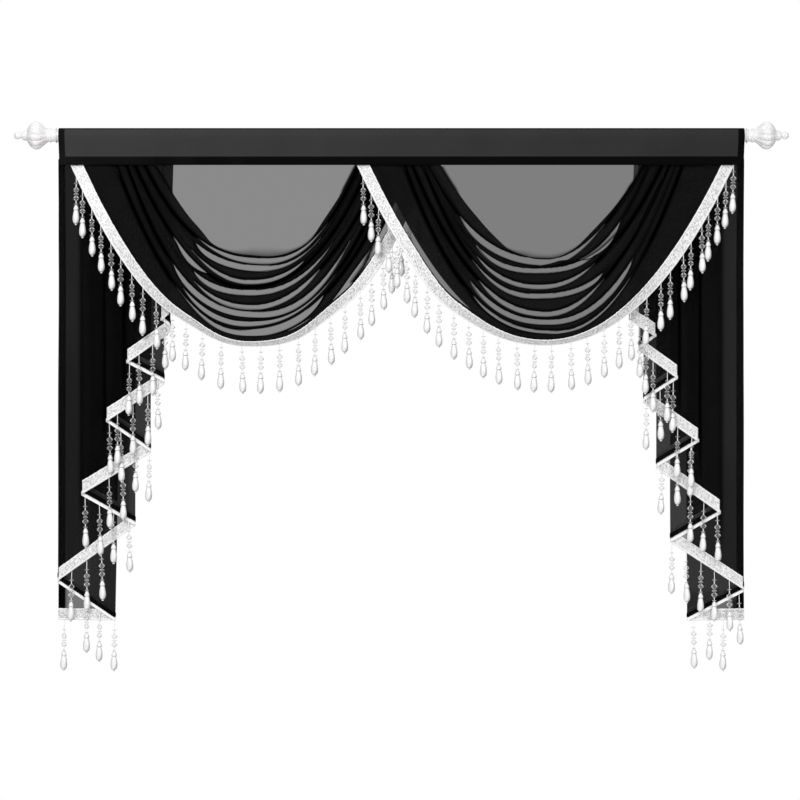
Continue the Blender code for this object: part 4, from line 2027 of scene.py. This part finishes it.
@dataclass
class Tail:
    """One tail: sheer cloth folded back and forth, with a stepped lower edge."""

    side: Side
    edges: tuple[PleatEdge, ...]
    cut: tuple[float, float]
    cut_area: float
    voile: SheerVoile
    shadows: tuple[FoldShadow, ...]
    dusks: tuple[Dusk, ...]
    pattern: DropPattern = DropPattern(thread_extra=0.0075)
    top_y: float = 0.0132
    front_y: float = -0.0120
    fan_z: float = -0.300
    step_at_seam: float = 0.00135
    step_fanned: float = 0.0060
    panel_steps: int = 38
    turn_steps: int = 6
    turn_reach: float = 0.0022
    side_hem: float = 0.0150
    stray: float = 0.0011
    shadow_height: float = 0.13
    rows_down: int = 64
    braid_step: float = 0.0024

    # the lowest part of the cloth and its hem, turned up twice: the share of the braid's
    # width below its upper edge, and the distance out of the face
    HEM_PATH = ((0.35, 0.0), (0.70, 0.0), (0.73, -0.0003), (0.70, -0.0006), (0.50, -0.0007),
                (0.36, -0.0007), (0.34, -0.0009), (0.36, -0.0011), (0.50, -0.0011),
                (0.66, -0.0011))

    @property
    def node(self) -> str:
        """The CAD node of the tail's cloth."""
        return f"tail_{self.side.word}"

    def layer_y(self, layer: float, z: float) -> float:
        """The depth of a layer: close together at the seam, fanned out below.

        Args:
            layer: how many layers back it lies, from 0 in front.
            z: the height.

        Returns:
            The Y.
        """
        fall = clamp((SEAM_Z - z) / (SEAM_Z - self.fan_z))
        share = between(fall, smooth(fall * 0.5 + 0.5) * 2 - 1, 0.4)
        front = between(self.top_y, self.front_y, share)
        return front + layer * between(self.step_at_seam, self.step_fanned, share)

    def panel_threads(self, number: int, steps: int) -> list[Thread]:
        """The lengthwise lines of one flat panel, without its two folds' turns.

        Args:
            number: the panel's number, from the front.
            steps: how many strips it is split into.

        Returns:
            The threads from its first fold to its second.
        """
        start, end = self.edges[number], self.edges[number + 1]
        way = math.copysign(1, end.top - start.top)
        last = len(self.edges) - 2
        inset_start = way * self.turn_reach if number > 0 else 0.0
        inset_end = -way * self.turn_reach if number < last else 0.0
        facing = Vector((0.0, 1.0 if number % 2 else -1.0, 0.0))
        threads = []
        for i in range(steps + 1):
            share = i / steps
            threads.append(Thread(
                top=between(start.top + inset_start, end.top + inset_end, share),
                foot=between(start.foot + inset_start, end.foot + inset_end, share),
                low=between(start.low - start.step, end.low, share),
                band=between(start.band, end.band, share),
                layer=float(number), normal=facing,
                wave=math.sin(math.pi * share) if 0 < number < last else 0.7,
            ))
        return threads

    def turn_threads(self, number: int) -> list[Thread]:
        """The lengthwise lines round the fold at the end of a panel.

        Args:
            number: the panel's number.

        Returns:
            The threads between this panel and the next, without the panels' own.
        """
        edge = self.edges[number + 1]
        way = math.copysign(1, edge.top - self.edges[number].top)
        face = -1.0 if number % 2 == 0 else 1.0
        threads = []
        for i in range(1, self.turn_steps):
            angle = math.pi * i / self.turn_steps
            bulge = self.turn_reach * (1 - math.sin(angle))
            share = (1 - math.cos(angle)) / 2
            normal = Vector((-way * math.sin(angle), face * math.cos(angle), 0.0))
            threads.append(Thread(
                top=edge.top - way * bulge, foot=edge.foot - way * bulge,
                low=edge.low - edge.step * share, band=edge.band,
                layer=number + share, normal=normal.normalized(), wave=0.0,
            ))
        return threads

    def threads(self, step: float | None = None) -> list[Thread]:
        """Every lengthwise line of the cloth, from the inner free edge to the outer one.

        Args:
            step: how wide the strips are at the foot, if a panel's usual count won't do.

        Returns:
            The lines.
        """
        found = []
        last = len(self.edges) - 2
        for number, (start, end) in enumerate(pairwise(self.edges)):
            run = abs(end.foot - start.foot)
            steps = max(3, round(run / step)) if step else self.panel_steps
            found += self.panel_threads(number, steps)
            if number < last:
                found += self.turn_threads(number)
        return found

    def place(self, thread: Thread, z: float, lift: float = 0.0) -> Vector:
        """A point of a lengthwise line.

        Args:
            thread: the line.
            z: the height.
            lift: how far it stands out of the cloth's face.

        Returns:
            The point.
        """
        share = (SEAM_Z - z) / (SEAM_Z - thread.low)
        x = between(thread.top, thread.foot, clamp(share, 0.0, 1.1))
        fanned = smooth((HANG_Z - z) / 0.2)
        x += self.stray * fanned * wander(z * 3.4, round(thread.layer), self.side.value)
        y = self.layer_y(thread.layer, z)
        y += self.stray * thread.wave * fanned * wander(thread.top * 16, thread.layer, z * 1.2)
        return Vector((x, y, z)) + thread.normal * lift

    def hem_z(self, thread: Thread, share: float) -> float:
        """The height at a share of the braid's width below its upper edge."""
        return thread.low + thread.band * (1 - share)

    def weft(self) -> Weft:
        """Every row of the cloth, from the seam to its hem, which is turned up twice.

        Returns:
            The rows, from left to right.
        """
        threads = self.threads()
        rows = []
        for k in range(self.rows_down + 1):
            share = k / self.rows_down
            rows.append([self.place(t, between(SEAM_Z, self.hem_z(t, 0.0), share))
                         for t in threads])
        for share, lift in self.HEM_PATH:
            rows.append([self.place(t, self.hem_z(t, share), lift) for t in threads])
        weft = Weft()
        for row in rows:
            shades = [self.shade(thread, point) for thread, point in zip(threads, row)]
            if self.side is Side.LEFT:
                row, shades = row[::-1], shades[::-1]
            weft.add(row, shades)
        return weft

    def shade(self, thread: Thread, point: Vector) -> float:
        """The painted shade at a point: painted shadows just outside the folds that lie on it,
        and the patches of painted shade.

        Args:
            thread: its lengthwise line.
            point: the point.

        Returns:
            The shade.
        """
        deepest = max((dusk.at(point, thread.layer) for dusk in self.dusks), default=0.0)
        for shadow in self.shadows:
            if thread.layer == shadow.fold + 1:
                edge = self.edges[shadow.fold]
                past = self.side.value * (point.x - edge.foot) - shadow.beyond
                above = smooth((point.z - edge.low + self.shadow_height) / self.shadow_height)
                line = math.exp(-((past / shadow.width) ** 2))
                deepest = max(deepest, shadow.strength * above * line)
        return deepest

    def side_hem_rows(self) -> list[Line]:
        """The outer free edge, turned back twice behind the last panel.

        Returns:
            The rows, from left to right.
        """
        start, end = self.edges[-2], self.edges[-1]
        inward = -math.copysign(1, end.top - start.top)
        wide = self.side_hem
        path = (
            (0.0003, 0.0003), (0.0, 0.0006), (0.0003, 0.0009), (0.006, 0.0009),
            (wide - 0.0004, 0.0009), (wide, 0.0012), (wide - 0.0004, 0.0015),
            (0.006, 0.0015), (0.001, 0.0015),
        )
        rows = []
        steps = 40
        for k in range(steps + 1):
            share = k / steps
            z = between(SEAM_Z, end.low + end.band * 0.3, share)
            x = between(end.top, end.foot, share)
            y = self.layer_y(len(self.edges) - 2, z)
            row = [Vector((x + inward * along, y + behind, z)) for along, behind in path]
            rows.append(row if inward > 0 else row[::-1])
        return rows

    def braid_spots(self) -> list[HemSpot]:
        """Close places along the lower edge, in the way that the braid lies on it.

        Returns:
            The places, from left to right.
        """
        threads = self.threads(self.braid_step)
        if self.side is Side.LEFT:
            threads.reverse()
        spots = []
        for thread in threads:
            top = self.place(thread, self.hem_z(thread, 0.0))
            foot = self.place(thread, self.hem_z(thread, 1.0))
            spots.append(HemSpot(top, (foot - top).normalized(), thread.normal,
                                 (foot - top).length))
        return spots

    def drop_roots(self) -> Line:
        """Where the bead drops hang.

        Returns:
            The points.
        """
        roots = []
        for number, edge in enumerate(self.edges[:-1]):
            threads = self.panel_threads(number, 1)
            start, end = threads[0], threads[-1]
            for x in edge.drops:
                share = (x - start.foot) / (end.foot - start.foot)
                low = between(start.low, end.low, share)
                roots.append(Vector((x, self.layer_y(number, low), low)))
        return roots

    def build(self) -> Piece:
        """Makes the cloth, its side hem, its braid and its fringe.

        Returns:
            The cloth.
        """
        cloth = self.weft().sheet(f"{self.node}_cloth")
        hem = woven_sheet(f"{self.node}_side_hem", self.side_hem_rows())
        for piece in (cloth, hem):
            fit(piece, self.voile, self.node)
        spots = self.braid_spots()
        trims = trimmed(self.node, 40 + self.side.value, spots, spots,
                        self.drop_roots(), self.pattern)
        return cloth


# ---- this drape's sizes

LEFT_SWAG = Swag(
    side=Side.LEFT,
    creases=(
        Crease(-0.5616, -0.0950, -0.2933, -0.2693, 2.66, 2.28,
               0.0132, -0.4457, -0.1653, 2.0, 1.1, 1.0, 1.0),
        Crease(-0.5711, -0.0882, -0.2938, -0.2857, 2.58, 2.21,
               0.0126, -0.4490, -0.1808, 9.0, 0.8, 0.1, 0.3),
        Crease(-0.5781, -0.0786, -0.3347, -0.3173, 1.98, 2.35,
               0.0094, -0.4610, -0.2139, 2.1, 3.5, 0.1, 0.3),
        Crease(-0.5830, -0.0710, -0.3393, -0.3337, 2.02, 2.28,
               0.0107, -0.4993, -0.4240, 2.0, 2.0, 1.0, 1.0, -0.4635),
        Crease(-0.5911, -0.0636, -0.3319, -0.3394, 2.47, 2.43,
               0.0118, -0.4525, -0.1522, 7.8, 1.9, 0.1, 0.3),
        Crease(-0.5982, -0.0397, -0.3246, -0.3724, 2.30, 2.00,
               0.0102, -0.4540, -0.1768, 3.4, 5.1, 0.1, 1.0),
        Crease(-0.6005, -0.0378, -0.3080, -0.3872, 2.57, 2.19,
               0.0126, -0.4979, -0.1128, 8.5, 3.0, 1.0, 0.3),
        Crease(-0.6179, -0.0252, -0.3281, -0.4087, 2.28, 2.37,
               0.0110, -0.4777, -0.1448, 4.1, 1.0, 0.1, 1.0),
        Crease(-0.6248, -0.0042, -0.3516, -0.4269, 1.97, 2.38,
               0.0168, -0.4949, -0.1711, 0.8, 5.7, 1.0, 1.0),
        Crease(-0.6931, 0.0196, -0.3362, -0.4478, 1.95, 2.17,
               0.0020, -0.3400, -0.3300, 2.0, 2.0, 0.0, 0.6,
               dips=(Dip(-0.1566, 0.0077, 0.031), Dip(-0.0471, 0.0105, 0.035))),
    ),
    lips=(
        Lip(-0.5355, -0.0712), Lip(-0.4982, -0.1303), Lip(-0.4676, -0.1741),
        Lip(-0.4391, -0.2070), Lip(-0.4128, -0.2376), Lip(-0.3699, -0.2565, 0.006),
        Lip(-0.3246, -0.2624, 0.020), Lip(-0.2827, -0.2639, 0.022),
        Lip(-0.2449, -0.2551, 0.008), Lip(-0.2030, -0.2302), Lip(-0.1697, -0.1820),
        Lip(-0.1318, -0.1233), Lip(-0.1034, -0.0690),
    ),
    hem=Festoon(-0.6962, 0.0332, -0.3307, -0.4509, 2.03, 2.39,
                dips=(Dip(-0.1632, -0.0129, 0.054), Dip(-0.4520, -0.0085, 0.052))),
    streaks=(Streak((-0.0613, -0.2400), (-0.0821, -0.2880)),
             Streak((-0.0821, -0.2880), (-0.1084, -0.3250))),
    flat_left=-0.5120, flat_right=-0.1220,
    depth_left=0.0025, depth_right=0.0145, ease_right=2.2, curl_deg=66,
    drops=(
        -0.7124, -0.6984, -0.6776, -0.6574, -0.6349, -0.6128, -0.5887, -0.5639, -0.5355,
        -0.4998, -0.4693, -0.4336, -0.3927, -0.3476, -0.3062, -0.2656, -0.2245, -0.1879,
        -0.1555, -0.1231, -0.0902, -0.0653, -0.0410, -0.0197, 0.0000, 0.0186, 0.0361, 0.0526,
    ),
    voile=SheerVoile("black voile left"),
    cut=(1.16, 0.86), cut_area=0.62,
)

RIGHT_SWAG = Swag(
    side=Side.RIGHT,
    creases=(
        Crease(0.0571, 0.5308, 0.3244, -0.2717, 2.50, 1.79,
               0.0140, 0.1278, 0.4471, 9.0, 1.3, 0.9, 0.9),
        Crease(0.0596, 0.5413, 0.2900, -0.2905, 2.49, 2.71,
               0.0130, 0.3887, 0.4774, 2.0, 2.0, 0.2, 0.7, 0.4347),
        Crease(0.0544, 0.5617, 0.2899, -0.2926, 2.40, 2.64,
               0.0106, 0.1631, 0.4215, 6.1, 9.0, 0.2, 0.3),
        Crease(0.0484, 0.5700, 0.2994, -0.3288, 2.29, 2.12,
               0.0095, 0.1653, 0.4227, 4.9, 3.2, 0.4, 1.0),
        Crease(0.0486, 0.5840, 0.2910, -0.3485, 2.30, 2.63,
               0.0106, 0.1544, 0.4388, 2.4, 9.0, 1.0, 0.3),
        Crease(0.0241, 0.5847, 0.3151, -0.3878, 2.23, 1.95,
               0.0110, 0.1694, 0.4446, 5.7, 2.4, 1.0, 1.0),
        Crease(0.0181, 0.6001, 0.3196, -0.4051, 2.40, 2.20,
               0.0112, 0.1504, 0.5067, 9.0, 9.0, 0.1, 0.5),
        Crease(0.0066, 0.6149, 0.3370, -0.4290, 2.55, 2.07,
               0.0066, 0.1559, 0.5267, 9.0, 1.6, 1.0, 1.0),
        Crease(-0.0500, 0.6983, 0.3074, -0.4482, 2.13, 2.15,
               0.0020, 0.3000, 0.3150, 2.0, 2.0, 0.0, 0.0),
    ),
    lips=(
        Lip(0.0878, -0.0668), Lip(0.1106, -0.1050), Lip(0.1391, -0.1460), Lip(0.1610, -0.1735),
        Lip(0.1851, -0.2020), Lip(0.2091, -0.2270), Lip(0.2335, -0.2490, 0.002),
        Lip(0.2674, -0.2630, 0.012), Lip(0.3068, -0.2715, 0.014), Lip(0.3462, -0.2650, 0.010),
        Lip(0.3822, -0.2448, 0.002), Lip(0.4156, -0.2113), Lip(0.4660, -0.1566),
        Lip(0.5111, -0.0961), Lip(0.5333, -0.0668),
    ),
    hem=Festoon(-0.0686, 0.6993, 0.3138, -0.4478, 2.14, 2.02,
                dips=(Dip(0.0909, 0.0088, 0.044),)),
    flat_left=0.1080, flat_right=0.4960,
    depth_left=0.0025, depth_right=0.0025, ease_right=1.0, curl_deg=64,
    drops=(
        -0.0845, -0.0664, -0.0499, -0.0291, -0.0094, 0.0110, 0.0313, 0.0561, 0.0815, 0.1137,
        0.1459, 0.1785, 0.2107, 0.2512, 0.2906, 0.3270, 0.3684, 0.4047, 0.4413, 0.4737,
        0.4987, 0.5350, 0.5657, 0.5865, 0.6152, 0.6327, 0.6563, 0.6717, 0.6918, 0.7109, 0.7278,
    ),
    voile=SheerVoile("black voile right", covers=(0.795, 0.855, 0.930, 0.930)),
    cut=(1.20, 0.86), cut_area=0.64,
)

LEFT_TAIL = Tail(
    side=Side.LEFT,
    edges=(
        PleatEdge(-0.5000, -0.5070, -0.3900, 0.0, (-0.5179,)),
        PleatEdge(-0.5260, -0.5260, -0.4050),
        PleatEdge(-0.5010, -0.5070, -0.4160, 0.0160, (-0.5451, -0.5749)),
        PleatEdge(-0.6035, -0.6035, -0.4970, 0.0010, (-0.5961, -0.5355)),
        PleatEdge(-0.5200, -0.5200, -0.5385, 0.0065, (-0.5567, -0.5891, -0.6231)),
        PleatEdge(-0.6480, -0.6480, -0.6250, 0.0028, (-0.6417, -0.6165, -0.5836, -0.5530)),
        PleatEdge(-0.5470, -0.5510, -0.6905, 0.0055, (-0.6121, -0.6428)),
        PleatEdge(-0.7042, -0.7042, -0.7850, 0.0040, (-0.6962, -0.6647, -0.6336, -0.6003)),
        PleatEdge(-0.5830, -0.5860, -0.8525, 0.0045, (-0.6609, -0.6931, -0.7260)),
        PleatEdge(-0.7545, -0.7570, -0.9750, 0.0080, (-0.6940, -0.6647), band=0.027),
        PleatEdge(-0.6140, -0.6310, -1.0645, 0.0, (-0.6329, -0.7435), band=0.025),
        PleatEdge(-0.7545, -0.7570, -1.0635, band=0.025),
    ),
    cut=(1.36, 1.06), cut_area=0.86,
    voile=SheerVoile("black voile left tail", (0.755, 0.862, 0.62, 0.66), lit=0.0046),
    shadows=(FoldShadow(3, 0.0060, 0.0042, 1.0), FoldShadow(5, 0.0050, 0.0038, 0.9),
             FoldShadow(7, 0.0003, 0.0060, 0.8)),
    dusks=(Dusk(0.664, 0.780, -0.480, 0.10), Dusk(0.560, 0.658, -0.900, 0.33),
           Dusk(0.655, 0.688, -0.100, 0.22), Dusk(0.600, 0.636, -0.100, 0.25),
           Dusk(0.600, 0.745, -0.980, 0.28, 0.03, 10), Dusk(0.739, 0.800, -0.980, 0.92, 0.03, 10)),
)

RIGHT_TAIL = Tail(
    side=Side.RIGHT,
    edges=(
        PleatEdge(0.5100, 0.4970, -0.4040, 0.0, (0.5206,)),
        PleatEdge(0.5570, 0.5570, -0.4400, 0.0, (0.5359,)),
        PleatEdge(0.5190, 0.5190, -0.4650, 0.0070, (0.5510, 0.5823)),
        PleatEdge(0.6050, 0.6050, -0.5310, 0.0025, (0.5959, 0.5666, 0.5368)),
        PleatEdge(0.5310, 0.5310, -0.5785, 0.0085, (0.6060, 0.6369)),
        PleatEdge(0.6526, 0.6526, -0.6700, 0.0012, (0.6353, 0.6040, 0.5722)),
        PleatEdge(0.5600, 0.5600, -0.7240, 0.0060, (0.6353, 0.6647, 0.6940)),
        PleatEdge(0.7018, 0.7018, -0.8270, 0.0028),
        PleatEdge(0.5920, 0.5920, -0.8895, 0.0035, (0.5955, 0.6257, 0.6596, 0.6890, 0.7218)),
        PleatEdge(0.7535, 0.7541, -0.9950, 0.0072, (0.7440, 0.6798, 0.6430), band=0.027),
        PleatEdge(0.6280, 0.6285, -1.0650, 0.0, (0.7102,), band=0.025),
        PleatEdge(0.7535, 0.7541, -1.0635, band=0.025),
    ),
    cut=(1.33, 1.06), cut_area=0.84,
    voile=SheerVoile("black voile right tail", (0.705, 0.862, 0.62, 0.66), lit=0.0050),
    shadows=(FoldShadow(3, 0.0050, 0.0042, 1.0), FoldShadow(5, 0.0034, 0.0042, 1.0),
             FoldShadow(7, 0.0010, 0.0070, 0.8)),
    dusks=(Dusk(0.690, 0.780, -0.720, 0.08), Dusk(0.600, 0.690, -0.900, 0.12),
           Dusk(0.600, 0.730, -1.000, 0.50, 0.03, 10), Dusk(0.726, 0.800, -1.000, 0.95, 0.03, 10)),
)


# ---- studio


@dataclass
class Studio:
    """The camera, the soft light and the pale floor."""

    aim_x: float = -0.0033
    aim_z: float = -0.5793
    view_width: float = 1.7520
    lens: float = 135.0
    sensor: float = 36.0
    floor_z: float = -2.05

    def camera(self) -> None:
        """A level view straight at the drape."""
        data = bpy.data.cameras.new("camera")
        data.lens = self.lens
        data.sensor_width = self.sensor
        data.clip_end = 100
        camera = bpy.data.objects.new("camera", data)
        camera.location = (self.aim_x, -self.view_width * self.lens / self.sensor, self.aim_z)
        camera.rotation_euler = (math.pi / 2, 0.0, 0.0)
        bpy.context.scene.collection.objects.link(camera)
        bpy.context.scene.camera = camera

    def lamp(self, name: str, place: Vector, size: float, watts: float) -> None:
        """A soft square lamp aimed at the middle of the drape.

        Args:
            name: its name.
            place: where it stands.
            size: its side.
            watts: its power.
        """
        data = bpy.data.lights.new(name, "AREA")
        data.size = size
        data.energy = watts
        lamp = bpy.data.objects.new(name, data)
        lamp.location = place
        aim = Vector((0.0, 0.0, self.aim_z)) - place
        lamp.rotation_euler = aim.to_track_quat("-Z", "Y").to_euler()
        lamp.visible_transmission = False
        bpy.context.scene.collection.objects.link(lamp)

    def world(self) -> None:
        """A white surround, dimmer to the sides for what reflects it."""
        world = bpy.data.worlds.new("studio")
        world.use_nodes = True
        nodes = Nodes(world.node_tree)
        shown = world.node_tree.nodes["Background"]
        shown.inputs["Color"].default_value = (1.0, 1.0, 1.0, 1.0)
        lit = nodes.add("Background")
        direction = nodes.add("TexCoord").outputs["Generated"]
        split = nodes.add("SeparateXYZ")
        nodes.link(direction, split.inputs[0])
        upward = nodes.ramp(split.outputs[2], -0.6, 0.9, 0.30, 1.14)
        sideways = nodes.ramp(nodes.math("ABSOLUTE", split.outputs[0]), 0.35, 0.9, 1.0, 0.45)
        strength = nodes.math("MULTIPLY", upward, sideways)
        nodes.link(strength, lit.inputs["Strength"])
        path = nodes.add("LightPath")
        seen = nodes.math("MAXIMUM", path.outputs["Is Camera Ray"],
                          path.outputs["Is Transmission Ray"])
        mixed = nodes.add("MixShader")
        nodes.link(seen, mixed.inputs[0])
        nodes.link(lit.outputs[0], mixed.inputs[1])
        nodes.link(shown.outputs[0], mixed.inputs[2])
        nodes.link(mixed.outputs[0], world.node_tree.nodes["World Output"].inputs["Surface"])
        bpy.context.scene.world = world

    def floor(self) -> None:
        """A plain floor well below the drape."""
        bm = bmesh.new()
        bmesh.ops.create_grid(bm, x_segments=1, y_segments=1, size=2.4)
        bmesh.ops.translate(bm, verts=bm.verts, vec=(0.0, 0.0, self.floor_z))
        piece = finish_piece(bm, "floor", is_smooth=False)
        StudioFloor().put_on(piece)

    def build(self) -> None:
        """Sets the whole studio up."""
        self.camera()
        self.lamp("key", Vector((-1.6, -3.2, 1.1)), 1.6, 68.0)
        self.lamp("fill", Vector((2.2, -2.6, -0.2)), 2.0, 25.0)
        self.world()
        self.floor()
        bpy.context.scene.view_settings.view_transform = "Standard"
        LOG.info("studio ready")


def main() -> None:
    """Builds the drape piece by piece and reports each."""
    logging.basicConfig(level=logging.INFO, format="%(name)s: %(message)s")
    Studio().build()
    Rod().build()
    finials = [Finial(side) for side in Side]
    for part in (*finials, Heading(), LEFT_SWAG, RIGHT_SWAG, LEFT_TAIL, RIGHT_TAIL):
        LOG.info("%s built", part.build().name)


if __name__ == "__main__":
    main()
